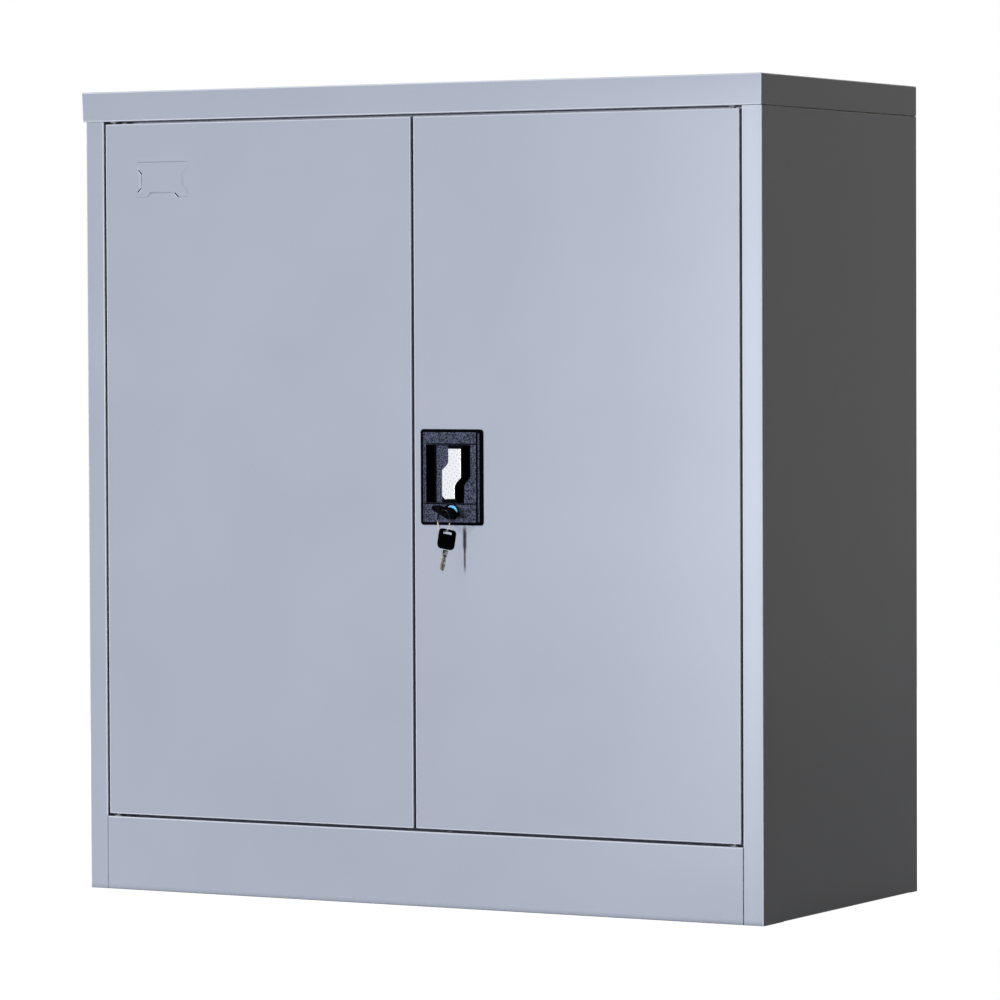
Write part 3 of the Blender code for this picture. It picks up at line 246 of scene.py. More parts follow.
# Materials
def linear(colour):
    """An sRGB hex colour as the linear values that a shader takes."""
    parts = [int(colour[at:at + 2], 16) / 255 for at in (0, 2, 4)]
    return (*[part / 12.92 if part <= 0.04045 else ((part + 0.055) / 1.055) ** 2.4
              for part in parts], 1.0)


def add(tree, kind, inputs=(), out=0, **settings):
    """Add a node with its settings and links, and give one of its outputs."""
    node = tree.nodes.new("ShaderNode" + kind)
    for key, value in settings.items():
        setattr(node, key, value)
    for key, value in dict(inputs).items():
        if isinstance(value, bpy.types.NodeSocket):
            tree.links.new(value, node.inputs[key])
        else:
            node.inputs[key].default_value = value
    return node.outputs[out] if len(node.outputs) else node


def material(name, **sockets):
    """A Principled material, with the sockets that are the same all over set on it."""
    made = bpy.data.materials.new(name)
    made.use_nodes = True
    shader = made.node_tree.nodes["Principled BSDF"]
    for key, value in sockets.items():
        shader.inputs[key.replace("_", " ")].default_value = value
    return made, made.node_tree, shader


def per_metre(size_mm):
    """A texture's scale for features of a real size in millimetres."""
    return 1000 / size_mm


def powder_coated_steel(name, tone, light_tone):
    # Polyester powder, stoved: a fine even grain, faint clouding where the film varies, and
    # the shallow waves that thin folded sheet always has.  Paler copies are painted highlights on
    # folds and lips, and a darker copy is painted shade in the gaps.  A thin clear skin gives the
    # soft glare
    made, tree, shader = material(name, Specular_IOR_Level=0.2, Coat_Weight=0.18,
                                  Coat_Roughness=0.22)
    where = add(tree, "TexCoord", out="Object")
    cloud = add(tree, "TexNoise", {"Vector": where, "Scale": per_metre(160), "Detail": 2.0})
    grain = add(tree, "TexNoise", {"Vector": where, "Scale": per_metre(1.1), "Detail": 3.0,
                                   "Roughness": 0.6})
    waves = add(tree, "TexNoise", {"Vector": where, "Scale": per_metre(260), "Detail": 1.0})
    clouding = add(tree, "MapRange", {0: cloud, 1: 0.35, 2: 0.65})
    film = add(tree, "Mix", {0: clouding, 6: linear(tone), 7: linear(light_tone)}, 2,
               data_type="RGBA")
    specks = add(tree, "MapRange", {0: grain, 1: 0.3, 2: 0.7, 3: 0.0, 4: 0.06})
    colour = add(tree, "Mix", {0: specks, 6: film, 7: linear("8f97a9")}, 2, data_type="RGBA")
    tree.links.new(colour, shader.inputs["Base Color"])
    matt = add(tree, "MapRange", {0: grain, 1: 0.3, 2: 0.7, 3: 0.42, 4: 0.52})
    tree.links.new(matt, shader.inputs["Roughness"])
    wavy = add(tree, "Bump", {"Height": waves, "Distance": 1.2 * MM})
    fine = add(tree, "Bump", {"Height": grain, "Distance": 0.03 * MM, "Strength": 0.6,
                              "Normal": wavy})
    tree.links.new(fine, shader.inputs["Normal"])
    return made


def zinc_plated_steel(name, silver, bloom_tone, smoothest=0.28):
    # Zinc on cold-formed steel: silvery with a faint passivation bloom and fine drawing lines
    made, tree, shader = material(name, Metallic=1.0)
    where = add(tree, "TexCoord", out="Object")
    bloom = add(tree, "TexNoise", {"Vector": where, "Scale": per_metre(9), "Detail": 2.0})
    lines = add(tree, "Mapping", {"Vector": where, "Scale": (1.0, 1.0, 0.08)})
    drawn = add(tree, "TexNoise", {"Vector": lines, "Scale": per_metre(0.5), "Detail": 3.0})
    blooming = add(tree, "MapRange", {0: bloom, 1: 0.35, 2: 0.65})
    colour = add(tree, "Mix", {0: blooming, 6: linear(silver), 7: linear(bloom_tone)}, 2,
                 data_type="RGBA")
    tree.links.new(colour, shader.inputs["Base Color"])
    rough = add(tree, "MapRange", {0: drawn, 1: 0.3, 2: 0.7, 3: smoothest,
                                   4: smoothest + 0.14})
    tree.links.new(rough, shader.inputs["Roughness"])
    scored = add(tree, "Bump", {"Height": drawn, "Distance": 0.02 * MM, "Strength": 0.5})
    tree.links.new(scored, shader.inputs["Normal"])
    return made


def worn_spring_steel():
    # The ring: hardened steel wire with a dark oil temper, rubbed bright where the keys hang
    made, tree, shader = material("worn_spring_steel", Metallic=1.0, Roughness=0.22)
    where = add(tree, "TexCoord", out="Object")
    height = add(tree, "SeparateXYZ", {"Vector": where}, "Z")
    rubs = add(tree, "TexNoise", {"Vector": where, "Scale": per_metre(2.2), "Detail": 3.0})
    ragged = add(tree, "Math", {0: rubs, 1: 5 * MM, 2: height}, operation="MULTIPLY_ADD")
    oiled = add(tree, "MapRange", {0: ragged, 1: 423.5 * MM, 2: 426.5 * MM})
    colour = add(tree, "Mix", {0: oiled, 6: linear("dedbd2"), 7: linear("1c1c1d")}, 2,
                 data_type="RGBA")
    tree.links.new(colour, shader.inputs["Base Color"])
    drawn = add(tree, "Bump", {"Height": rubs, "Distance": 0.02 * MM, "Strength": 0.4})
    tree.links.new(drawn, shader.inputs["Normal"])
    return made


def spark_textured_abs():
    # Black ABS from a spark-eroded mould: a coarse matt grain whose tops are painted lighter as
    # glints.
    # The grain is drawn at 1.5 mm, coarser than the real 0.3 mm, so that it shows
    made, tree, shader = material("spark_textured_abs", Specular_IOR_Level=0.12)
    where = add(tree, "TexCoord", out="Object")
    grain = add(tree, "TexNoise", {"Vector": where, "Scale": per_metre(1.5), "Detail": 4.0,
                                   "Roughness": 0.7})
    tops_with_painted_glints = add(tree, "MapRange", {0: grain, 1: 0.44, 2: 0.60})
    colour = add(tree, "Mix", {0: tops_with_painted_glints, 6: linear("0f111a"), 7: linear("60657e")}, 2,
                 data_type="RGBA")
    tree.links.new(colour, shader.inputs["Base Color"])
    rough = add(tree, "MapRange", {0: tops_with_painted_glints, 3: 0.62, 4: 0.45})
    tree.links.new(rough, shader.inputs["Roughness"])
    grainy = add(tree, "Bump", {"Height": grain, "Distance": 0.3 * MM, "Strength": 0.5})
    tree.links.new(grainy, shader.inputs["Normal"])
    return made


def smooth_black_abs():
    # The same ABS off a polished mould: near black, softly glossy, with faint handling haze
    made, tree, shader = material("smooth_black_abs", Specular_IOR_Level=0.01)
    where = add(tree, "TexCoord", out="Object")
    haze = add(tree, "TexNoise", {"Vector": where, "Scale": per_metre(6), "Detail": 3.0})
    colour = add(tree, "Mix", {0: haze, 6: linear("020203"), 7: linear("060709")}, 2,
                 data_type="RGBA")
    tree.links.new(colour, shader.inputs["Base Color"])
    rough = add(tree, "MapRange", {0: haze, 1: 0.3, 2: 0.7, 3: 0.42, 4: 0.54})
    tree.links.new(rough, shader.inputs["Roughness"])
    handled = add(tree, "Bump", {"Height": haze, "Distance": 0.05 * MM, "Strength": 0.3})
    tree.links.new(handled, shader.inputs["Normal"])
    return made


def bright_chrome():
    # Chrome plate on a moulded grip insert, with a diagonal grid of small dimples for the thumb,
    # each painted darker in its hollow as shade
    made, tree, shader = material("bright_chrome_plate", Metallic=1.0, Roughness=0.06)
    where = add(tree, "TexCoord", out="Object")
    turned = add(tree, "Mapping", {"Vector": where, "Rotation": (0, math.radians(35), 0)})
    cells = add(tree, "TexVoronoi", {"Vector": turned, "Scale": per_metre(4.6),
                                     "Randomness": 0.0})
    dimple_with_painted_shade = add(tree, "MapRange", {0: cells, 1: 0.14, 2: 0.24})
    colour = add(tree, "Mix", {0: dimple_with_painted_shade, 6: linear("cdcfd5"), 7: linear("e9ebef")}, 2,
                 data_type="RGBA")
    tree.links.new(colour, shader.inputs["Base Color"])
    dimpled = add(tree, "Bump", {"Height": dimple_with_painted_shade, "Distance": 0.04 * MM, "Strength": 0.5})
    tree.links.new(dimpled, shader.inputs["Normal"])
    return made


def black_chrome():
    # The barrel's rim: dark bright plating, whose bright crescent is a painted reflection on an
    # arc of its own
    made, tree, shader = material("black_chrome_plate", Specular_IOR_Level=0.15, Roughness=0.2)
    where = add(tree, "TexCoord", out="Object")
    tone = add(tree, "TexNoise", {"Vector": where, "Scale": per_metre(2.5), "Detail": 2.0})
    colour = add(tree, "Mix", {0: tone, 6: linear("05060a"), 7: linear("0c0e15")}, 2,
                 data_type="RGBA")
    tree.links.new(colour, shader.inputs["Base Color"])
    cast = add(tree, "Bump", {"Height": tone, "Distance": 0.01 * MM, "Strength": 0.4})
    tree.links.new(cast, shader.inputs["Normal"])
    return made


def painted_crescent_glint():
    # Polished steel with a painted reflection, in colours that run from straw white through blue
    # to green across the barrel's rim
    made, tree, shader = material("painted_crescent_glint", Metallic=0.4, Roughness=0.3)
    where = add(tree, "TexCoord", out="Object")
    film = add(tree, "TexNoise", {"Vector": where, "Scale": per_metre(3), "Detail": 1.0})
    across = add(tree, "SeparateXYZ", {"Vector": where}, "X")
    early = add(tree, "MapRange", {0: across, 1: 43 * MM, 2: 50 * MM})
    late = add(tree, "MapRange", {0: across, 1: 52 * MM, 2: 58 * MM})
    white_to_blue = add(tree, "Mix", {0: early, 6: linear("eef5fb"), 7: linear("4b9fe6")}, 2,
                 data_type="RGBA")
    colour = add(tree, "Mix", {0: late, 6: white_to_blue, 7: linear("53bfba")}, 2, data_type="RGBA")
    tree.links.new(colour, shader.inputs["Base Color"])
    polish = add(tree, "Bump", {"Height": film, "Distance": 0.02 * MM, "Strength": 0.3})
    tree.links.new(polish, shader.inputs["Normal"])
    return made


def nickel_plated_brass():
    # Key stock: nickel over brass, yellowed where it rubs, with cutter lines across it
    made, tree, shader = material("nickel_plated_brass", Metallic=1.0)
    where = add(tree, "TexCoord", out="Object")
    rub = add(tree, "TexNoise", {"Vector": where, "Scale": per_metre(3), "Detail": 3.0})
    lines = add(tree, "TexWave", {"Vector": where, "Scale": per_metre(0.5) / 6,
                                  "Distortion": 0.6}, "Fac", bands_direction="Z")
    rubbed = add(tree, "MapRange", {0: rub, 1: 0.4, 2: 0.7})
    colour = add(tree, "Mix", {0: rubbed, 6: linear("b3afa6"), 7: linear("a8926c")}, 2,
                 data_type="RGBA")
    tree.links.new(colour, shader.inputs["Base Color"])
    rough = add(tree, "MapRange", {0: rub, 1: 0.3, 2: 0.7, 3: 0.25, 4: 0.45})
    tree.links.new(rough, shader.inputs["Roughness"])
    milled = add(tree, "Bump", {"Height": lines, "Distance": 0.02 * MM, "Strength": 0.5})
    tree.links.new(milled, shader.inputs["Normal"])
    return made


def natural_nylon():
    # Moulded nylon 6: milky, waxy, greyed by dust, a little light goes in and comes out again
    made, tree, shader = material("natural_nylon", Roughness=0.5, Specular_IOR_Level=0.2,
                                  Subsurface_Weight=0.1, Subsurface_Scale=0.002)
    where = add(tree, "TexCoord", out="Object")
    milk = add(tree, "TexNoise", {"Vector": where, "Scale": per_metre(4), "Detail": 2.0})
    colour = add(tree, "Mix", {0: milk, 6: linear("8b8c90"), 7: linear("9c9da0")}, 2,
                 data_type="RGBA")
    tree.links.new(colour, shader.inputs["Base Color"])
    waxy = add(tree, "Bump", {"Height": milk, "Distance": 0.05 * MM, "Strength": 0.3})
    tree.links.new(waxy, shader.inputs["Normal"])
    return made


def moulded_rubber():
    # Black buffer rubber: dull, with a dusty bloom
    made, tree, shader = material("moulded_rubber", Roughness=0.85)
    where = add(tree, "TexCoord", out="Object")
    dust = add(tree, "TexNoise", {"Vector": where, "Scale": per_metre(1.5), "Detail": 4.0})
    colour = add(tree, "Mix", {0: dust, 6: linear("141414"), 7: linear("2b2a29")}, 2,
                 data_type="RGBA")
    tree.links.new(colour, shader.inputs["Base Color"])
    bloomed = add(tree, "Bump", {"Height": dust, "Distance": 0.08 * MM, "Strength": 0.5})
    tree.links.new(bloomed, shader.inputs["Normal"])
    return made


POWDER = powder_coated_steel("powder_coated_steel", "b8bbc3", "bcbfc7")
# Paler copies of the coat are painted highlights on folds and lips and on the card holder's left
# slope; the darker copy is painted shade in the gaps round the doors
EDGE_HIGHLIGHT = powder_coated_steel("powder_coat_painted_edge_highlight", "f1f2f5", "f6f7f9")
SLOPE_HIGHLIGHT = powder_coated_steel("powder_coat_painted_slope_highlight", "c9ccd4", "cdd0d7")
GAP_SHADE = powder_coated_steel("powder_coat_painted_gap_shade", "83868f", "8b8e97")
ZINC = zinc_plated_steel("zinc_plated_steel", "b9bdc4", "c6c0ac")
# A dull zinc for the pivot pins, and painted shade in the key blade's grooves
DULL_ZINC_AND_GROOVE_SHADE = zinc_plated_steel("dulled_zinc_and_painted_groove_shade", "6f7278", "757268", 0.5)
SPRING_STEEL = worn_spring_steel()
GRAINED = spark_textured_abs()
GLOSSY = smooth_black_abs()
CHROME = bright_chrome()
BLACK_CHROME = black_chrome()
KEY_METAL = nickel_plated_brass()
CRESCENT_GLINT = painted_crescent_glint()
NYLON = natural_nylon()
RUBBER = moulded_rubber()

FINISH_OF_SLOT = {"powder_coat": POWDER, "zinc": ZINC, "chrome": CHROME,
                  "black_plastic": GLOSSY, "nylon": NYLON, "rubber": RUBBER}


# Sheet panels: smooth folds, and on the right stile the slight lean of its bend
BODY_OF = {node: body for body, members in frame["record"]["behaviour"]["bodies"].items()
           for node in members}
SLOT_OF = {part["node"]: part["material_slot"] for part in frame["record"]["subparts"]}
PANELS = ("top_cap", "left_side_panel", "right_side_panel", "kick_plate", "floor_panel",
          "header_rail", "back_panel", "lower_shelf", "upper_shelf", "left_door", "right_door",
          "left_door_channel", "right_door_channel", "front_left_upright",
          "front_right_upright", "rear_left_upright", "rear_right_upright", "lock_cover")
STILE_EDGE, CORNER, STILE_LEAN, BEND_DEPTH = 401.3 * MM, 425.0 * MM, 0.8 * MM, 2 * MM
KICK_TOP = 82.5 * MM

# The card holder.  Each detail's row starts with its place in millimetres from the middle,
# right and up, and the degrees it is turned
CARD_FRONT = -0.7 * MM
CARD_X, CARD_Z = -323.3 * MM, 800.5 * MM
SHOULDER_FOOT, SHOULDER_TOP = (0.954, 1, 0.944), (0.91, 1, 0.945)
SLIT_PLUGS = ((-33.25, 10.25, 45), (-33.25, -10.25, -45), (19.5, -19.0, 45))
# then half length, half height and depth, in millimetres
CARD_CUTS = ((-28.7, 8.3, 45, 3.3, 0.6, 4.0), (-29.7, -11.6, -45, 3.4, 0.6, 4.0),
             (19.7, -17.6, 45, 3.5, 0.6, 4.0), (0.0, 19.4, 0, 31.0, 0.09, 0.5),
             (-2.0, -14.4, 0, 14.0, 0.08, 0.5))
# then half length and half height in millimetres, and the finish, a painted highlight
CARD_LIPS = ((-29.6, 7.4, 45, 3.3, 0.5, EDGE_HIGHLIGHT), (-28.8, -12.5, -45, 3.0, 0.4, EDGE_HIGHLIGHT),
             (18.7, -18.5, 45, 3.3, 0.5, EDGE_HIGHLIGHT), (-31.6, 12.9, 45, 0.8, 0.5, EDGE_HIGHLIGHT),
             (-28.8, -2.5, 90, 7.0, 1.2, SLOPE_HIGHLIGHT))


def on_card(x, z, turn, y=0.0):
    return (Matrix.Translation((CARD_X + x * MM, y, CARD_Z + z * MM)) @
            Matrix.Rotation(math.radians(turn), 4, "Y"))


def shape_card_holder(door):
    """Close its plain slits, slope the shoulders that raise it, and open its lanced corners."""
    centre = (CARD_X, 0, CARD_Z)
    for x, z, turn in SLIT_PLUGS:
        plug = block("slit_plug", (-3.4 * MM, -0.69 * MM, -0.5 * MM),
                     (3.4 * MM, 0.75 * MM, 0.5 * MM))
        place(plug, on_card(x, z, turn))
        paint(plug, POWDER)
        join_or_cut(door, plug, "UNION")
    edit(door, "FACE", lambda face: face.calc_center_median().y < -0.05 * MM)
    bpy.ops.transform.resize(value=SHOULDER_FOOT, center_override=centre)
    done()
    edit(door, "FACE", lambda face: face.normal.y < -0.9 and
         face.calc_center_median().y < CARD_FRONT + 0.05 * MM)
    bpy.ops.transform.resize(value=SHOULDER_TOP, center_override=centre)
    done()
    for x, z, turn, long, high, deep in CARD_CUTS:
        slot = block("lance_tool", (-long * MM, -3 * MM, -high * MM),
                     (long * MM, deep * MM, high * MM))
        place(slot, on_card(x, z, turn))
        paint(slot, POWDER)
        join_or_cut(door, slot, "DIFFERENCE")


def make_card_lips():
    """Where the card holder's sheet turns up: beside its openings, and along its left side, each
    painted paler as a highlight.
    """
    for number, (x, z, turn, long, high, finish) in enumerate(CARD_LIPS):
        lip = block(f"card_lip_{number}", (-long * MM, -0.45 * MM, -high * MM),
                    (long * MM, 0.05 * MM, high * MM))
        round_edges(lip, sharp_before(50, 0), 0.25 * MM, 2)
        place(lip, on_card(x, z, turn, CARD_FRONT * 0.6))
        paint(lip, finish)
        smooth(lip)
        stands_for(lip, "left_leaf", "powder_coat")


def gap_shade_faces(node):
    """A test for a node's faces that line the gaps beside and under the doors, which are
    painted darker as shade."""
    def test(face):
        x, y, z = face.center
        if abs(face.normal.y) > 0.3 or not 1 * MM < y < 45 * MM or z > 855 * MM:
            return False
        return node in ("left_door", "right_door") or (
            node == "kick_plate" and z > 80 * MM) or (
            node.endswith("side_panel") and abs(x) < 402.5 * MM)
    return test


def lean_stile(panel):
    """Let the stile's face fall back towards its corner."""
    for vert in panel.data.vertices:
        if vert.co.y < BEND_DEPTH and vert.co.x > STILE_EDGE - 1 * MM:
            share = (vert.co.x - STILE_EDGE) / (CORNER - STILE_EDGE)
            vert.co.y += STILE_LEAN * max(0, share) * (1 - vert.co.y / BEND_DEPTH)


def fold_to_highlight(face):
    """Whether a face is on a fold that gets a painted highlight, so not the kick plate's or the
    card holder's."""
    on_kick = face.center.z < KICK_TOP - 3 * MM and abs(face.center.x) < CORNER - 5 * MM
    return slanting(face) and not on_kick and face.center.y > -0.01 * MM


def make_panels():
    for node in PANELS:
        panel = copy_of_node(node, node + "_sheet")
        if node == "right_side_panel":
            lean_stile(panel)
        if node.endswith("side_panel"):
            edit(panel, "FACE", anything)
            bpy.ops.mesh.bisect(plane_co=(0, 0, KICK_TOP), plane_no=(0, 0, 1))
            done()
            make_spot_welds(panel, -1 if node.startswith("left") else 1)
        if node == "left_door":
            shape_card_holder(panel)
        finish = FINISH_OF_SLOT[SLOT_OF[node]]
        # Folds get a paler painted highlight, and the returns that line the gaps a darker painted
        # shade
        paint(panel, finish, EDGE_HIGHLIGHT if finish is POWDER else finish, GAP_SHADE)
        finish_faces(panel, 1, fold_to_highlight)
        finish_faces(panel, 2, gap_shade_faces(node))
        smooth(panel, 8 if node == "left_door" else 50)
        stands_for(panel, BODY_OF[node], SLOT_OF[node], node)


def make_kick_gussets():
    """The tabs inside the kick plate's ends, each with a flange back from its right edge."""
    foot, middle, top = 1 * MM, 38 * MM, 76 * MM
    for side in (-1, 1):
        left, right = sorted((side * 378 * MM, side * 400.6 * MM))
        tab = block(f"kick_gusset_{side + 1}", (left, 1.1 * MM, foot), (right, 1.9 * MM, top))
        edit(tab, "FACE", facing(-side, 0, 0))
        bpy.ops.mesh.extrude_region_move(TRANSFORM_OT_translate={"value": (-side * 2 * MM, 0, 0)})
        bpy.ops.transform.resize(value=(1, 1, 0.8), center_override=(0, 0, middle))
        done()
        flange = block("flange_tool", (right - (0.8 if side > 0 else 0) * MM, 1.2 * MM, foot),
                       (right + (0 if side > 0 else 0.8) * MM, 24 * MM, top))
        join_or_cut(tab, flange, "UNION")
        round_edges(tab, sharp(50), 0.2 * MM, 2)
        paint(tab, POWDER)
        smooth(tab)
        stands_for(tab, "cabinet", "powder_coat")


# Turned and stamped pieces, with the width in millimetres that breaks their edges
SMALL_PIECES = {"_pivot_pin": 0.35, "_pivot_bush": 0.15, "_buffer": 0.9, "_shelf_clip": 0.15,
                "latch_cam": 0.2, "cam_pivot": 0.3, "lock_tongue": 0.2, "_rod_guide": 0.0,
                "upper_rod": 0.4, "lower_rod": 0.4, "lock_plug": 0.15}
OWN_FINISH = {"lock_plug": BLACK_CHROME, "_pivot_pin": DULL_ZINC_AND_GROOVE_SHADE}


def make_small_pieces():
    for node in sorted(NODES):
        for ending, width in SMALL_PIECES.items():
            if not node.endswith(ending):
                continue
            piece = copy_of_node(node, node + "_made")
            if width:
                apply(piece, "BEVEL", width=width * MM, segments=2, limit_method="ANGLE",
                      angle_limit=math.radians(50))
            paint(piece, OWN_FINISH.get(ending, FINISH_OF_SLOT[SLOT_OF[node]]))
            smooth(piece)
            stands_for(piece, BODY_OF[node], SLOT_OF[node], node)


# The lock plate.  Places on it are in millimetres from its lower left corner, and depths are
# behind the door's face
PLATE_X, PLATE_Z = 10.8 * MM, 418.4 * MM
PLATE_WIDE, PLATE_TALL = 77.0, 104.5
PLATE_FRONT, PLATE_BACK, BOX_INSET, BOX_BACK = -2.5, -0.3, 4.5, 11.0
GROOVE_NEAR, GROOVE_FAR, GROOVE_FLOOR = 0.2, 1.6, -1.6
POCKET_FLOOR = 9.4
POCKET_BASE, POCKET_TOP = 24.2, 87.5
POCKET_LEFT, POCKET_RIGHT = 6.8, 62.3
GRIP_LEFT, GRIP_RIGHT = 19.3, 52.2
INSERT_BASE, INSERT_TOP = 28.2, 83.5
WAVE_SHIFT, RIGHT_BEND, LEFT_BEND = 7.8, 51.7, 70.2
CHANNEL, CHANNEL_RIGHT = 69.2, 71.7
BARREL_X, BARREL_Z = 38.7, 14.6
BARREL_RADIUS, RIM_RADIUS, BORE_RADIUS = 8.0, 9.3, 5.9


def on_plate(x, y, z):
    """A point from millimetres on the plate: right, depth behind the door's face, up."""
    return Vector((PLATE_X + x * MM, y * MM, PLATE_Z + z * MM))


def ease(share):
    share = min(1.0, max(0.0, share))
    return (1 - math.cos(math.pi * share)) / 2


def ease_out(share):
    return math.sin(math.pi / 2 * min(1.0, max(0.0, share)))


def ease_in(share):
    return 1 - math.cos(math.pi / 2 * min(1.0, max(0.0, share)))


def wave(x_top, bend, length, curve=ease_out):
    """The x of a wavy edge at a height: x_top above the bend, and shifted left below it."""
    return lambda z: x_top - WAVE_SHIFT * curve((bend - z) / length)


def straight(x):
    return lambda z: x


def wavy_slab(name, left, right, base, top, front, back):
    """A plate between two edges that are functions of height, made from one grid."""
    slab = grid(name, 1, 48)
    for vert in slab.data.vertices:
        z = base + (top - base) * (vert.co.z + 1) / 2
        edge = left if vert.co.x < 0 else right
        vert.co = on_plate(edge(z), front, z)
    apply(slab, "SOLIDIFY", thickness=(back - front) * MM, offset=1.0)
    face_outwards(slab)
    low_y = min(vert.co.y for vert in slab.data.vertices)
    for vert in slab.data.vertices:
        vert.co.y += front * MM - low_y
    return slab


RIGHT_LENGTH, LEFT_LENGTH = 11.0, 10.0
POCKET_WALL = wave(POCKET_RIGHT, RIGHT_BEND, RIGHT_LENGTH)
GRIP_EDGE = wave(GRIP_RIGHT, RIGHT_BEND, RIGHT_LENGTH)
INSERT_RIGHT = wave(GRIP_RIGHT - 0.6, RIGHT_BEND, RIGHT_LENGTH)
INSERT_LEFT = wave(GRIP_RIGHT - 16.5, LEFT_BEND, LEFT_LENGTH, ease_in)


def make_lock_plate():
    plate = block("lock_plate", on_plate(0, PLATE_FRONT, 0),
                  on_plate(PLATE_WIDE, PLATE_BACK, PLATE_TALL))
    round_edges(plate, running(0, 1, 0), 3.5 * MM, 6)
    edit(plate, "FACE", facing(0, -1, 0))
    bpy.ops.mesh.inset(thickness=0.9 * MM, depth=0)
    bpy.ops.mesh.inset(thickness=1.9 * MM, depth=-0.55 * MM)
    bpy.ops.mesh.inset(thickness=0.5 * MM, depth=0.40 * MM)
    done()
    round_edges(plate, lambda edge: sharp(60)(edge) and not running(0, 1, 0)(edge)
                and min(vert.co.y for vert in edge.verts) < (PLATE_FRONT + 0.1) * MM,
                0.5 * MM, 3)
    body = block("plate_box", on_plate(BOX_INSET, -1.4, BOX_INSET),
                 on_plate(PLATE_WIDE - BOX_INSET, BOX_BACK, PLATE_TALL - BOX_INSET))
    round_edges(body, running(0, 1, 0), 1.2 * MM, 3)
    join_or_cut(plate, body, "UNION")
    paint(plate, GLOSSY, GRAINED)
    grooves = ((CHANNEL, 1.0, CHANNEL_RIGHT, PLATE_TALL - 1.0),
               (POCKET_LEFT, POCKET_BASE - GROOVE_FAR, CHANNEL, POCKET_BASE - GROOVE_NEAR),
               (POCKET_LEFT, POCKET_TOP + GROOVE_NEAR, CHANNEL, POCKET_TOP + GROOVE_FAR))
    for left, base, right, top in grooves:
        groove = block("groove_tool", on_plate(left, -5, base),
                       on_plate(right, GROOVE_FLOOR, top))
        paint(groove, GLOSSY)
        join_or_cut(plate, groove, "DIFFERENCE")
    low, high = on_plate(3.0, 0, 3.0), on_plate(CHANNEL + 0.5, 0, PLATE_TALL - 3.0)
    corners = plate.data.vertices
    finish_faces(plate, 1, lambda face: face.normal.y < -0.9 and face.center.y < -1.8 * MM
                 and all(low.x < corners[at].co.x < high.x and low.z < corners[at].co.z < high.z
                         for at in face.vertices))
    pocket = wavy_slab("pocket_tool", straight(POCKET_LEFT), POCKET_WALL, POCKET_BASE,
                       POCKET_TOP, -6.0, POCKET_FLOOR)
    paint(pocket, GLOSSY)
    join_or_cut(plate, pocket, "DIFFERENCE")
    hole = rod("barrel_tool", on_plate(BARREL_X, 4, BARREL_Z), 8.3 * MM, 24 * MM, 64)
    paint(hole, GLOSSY)
    join_or_cut(plate, hole, "DIFFERENCE")
    slot = block("peg_tool", on_plate(36.2, 8, 62.5), on_plate(52.2, 13, 68.5))
    paint(slot, GLOSSY)
    join_or_cut(plate, slot, "DIFFERENCE")
    smooth(plate, 35)
    stands_for(plate, "right_leaf", "black_plastic", "lock_housing")
    for number, (x, wide) in enumerate(((3.4, 1.2), (CHANNEL_RIGHT + 0.1, 2.2))):
        rib = block(f"plate_rib_{number}", on_plate(x, -2.95, 4.2),
                    on_plate(x + wide, -1.9, PLATE_TALL - 4.2))
        round_edges(rib, running(0, 0, 1), 0.35 * MM, 3)
        smooth(rib)
        paint(rib, GRAINED)
        stands_for(rib, "right_leaf", "black_plastic")


def make_grip():
    grip = wavy_slab("slide_grip", straight(GRIP_LEFT), GRIP_EDGE, POCKET_BASE + 0.5,
                     POCKET_TOP - 0.5, -1.3, 9.1)
    round_edges(grip, sharp_before(50, 0), 0.6 * MM, 3)
    peg = rod("grip_peg", on_plate(49.2, 11.2, 65.5), 2.4 * MM, 4.4 * MM, 32)
    join_or_cut(grip, peg, "UNION")
    paint(grip, GRAINED, GLOSSY)
    finish_faces(grip, 1, lambda face: face.center.y > 0)
    smooth(grip)
    stands_for(grip, "handle", "black_plastic", "handle_grip")
    # the smooth black seat that frames the insert
    seat = wavy_slab("insert_seat", lambda z: INSERT_LEFT(z) - 1.6, GRIP_EDGE,
                     POCKET_BASE + 0.7, POCKET_TOP - 0.7, -1.55, -0.9)
    round_edges(seat, sharp_before(50, -1.5 * MM), 0.2 * MM, 2)
    paint(seat, GLOSSY)
    smooth(seat)
    stands_for(seat, "handle", "black_plastic")


def make_insert():
    insert = wavy_slab("grip_insert", lambda z: INSERT_LEFT(z) +
                       max(0, INSERT_BASE + 3.6 - z), INSERT_RIGHT, INSERT_BASE, INSERT_TOP,
                       -4.6, -1.6)
    round_edges(insert, sharp_before(30, -2 * MM), 0.7 * MM, 4)
    paint(insert, CHROME)
    smooth(insert)
    stands_for(insert, "handle", "chrome", "handle_insert")


def make_barrel():
    centre = on_plate(BARREL_X, 0, BARREL_Z)
    rim = rod("barrel_rim", centre + Vector((0, 6.0 * MM, 0)), BARREL_RADIUS * MM,
              16.4 * MM, 64)
    edit(rim, "FACE", facing(0, -1, 0))
    bpy.ops.mesh.extrude_region_move(TRANSFORM_OT_translate={"value": (0, -0.6 * MM, 0)})
    wider = RIM_RADIUS / BARREL_RADIUS
    bpy.ops.transform.resize(value=(wider, 1, wider), center_override=centre)
    bpy.ops.mesh.extrude_region_move(TRANSFORM_OT_translate={"value": (0, -1.6 * MM, 0)})
    bpy.ops.mesh.inset(thickness=1.4 * MM, depth=0)
    bpy.ops.mesh.inset(thickness=0.5 * MM, depth=-0.4 * MM)
    done()
    bore = rod("bore_tool", centre, BORE_RADIUS * MM, 60 * MM, 64)
    join_or_cut(rim, bore, "DIFFERENCE")
    round_edges(rim, sharp_before(50, -4.0 * MM), 0.45 * MM, 4)
    paint(rim, BLACK_CHROME)
    smooth(rim)
    stands_for(rim, "right_leaf", "chrome", "lock_barrel")


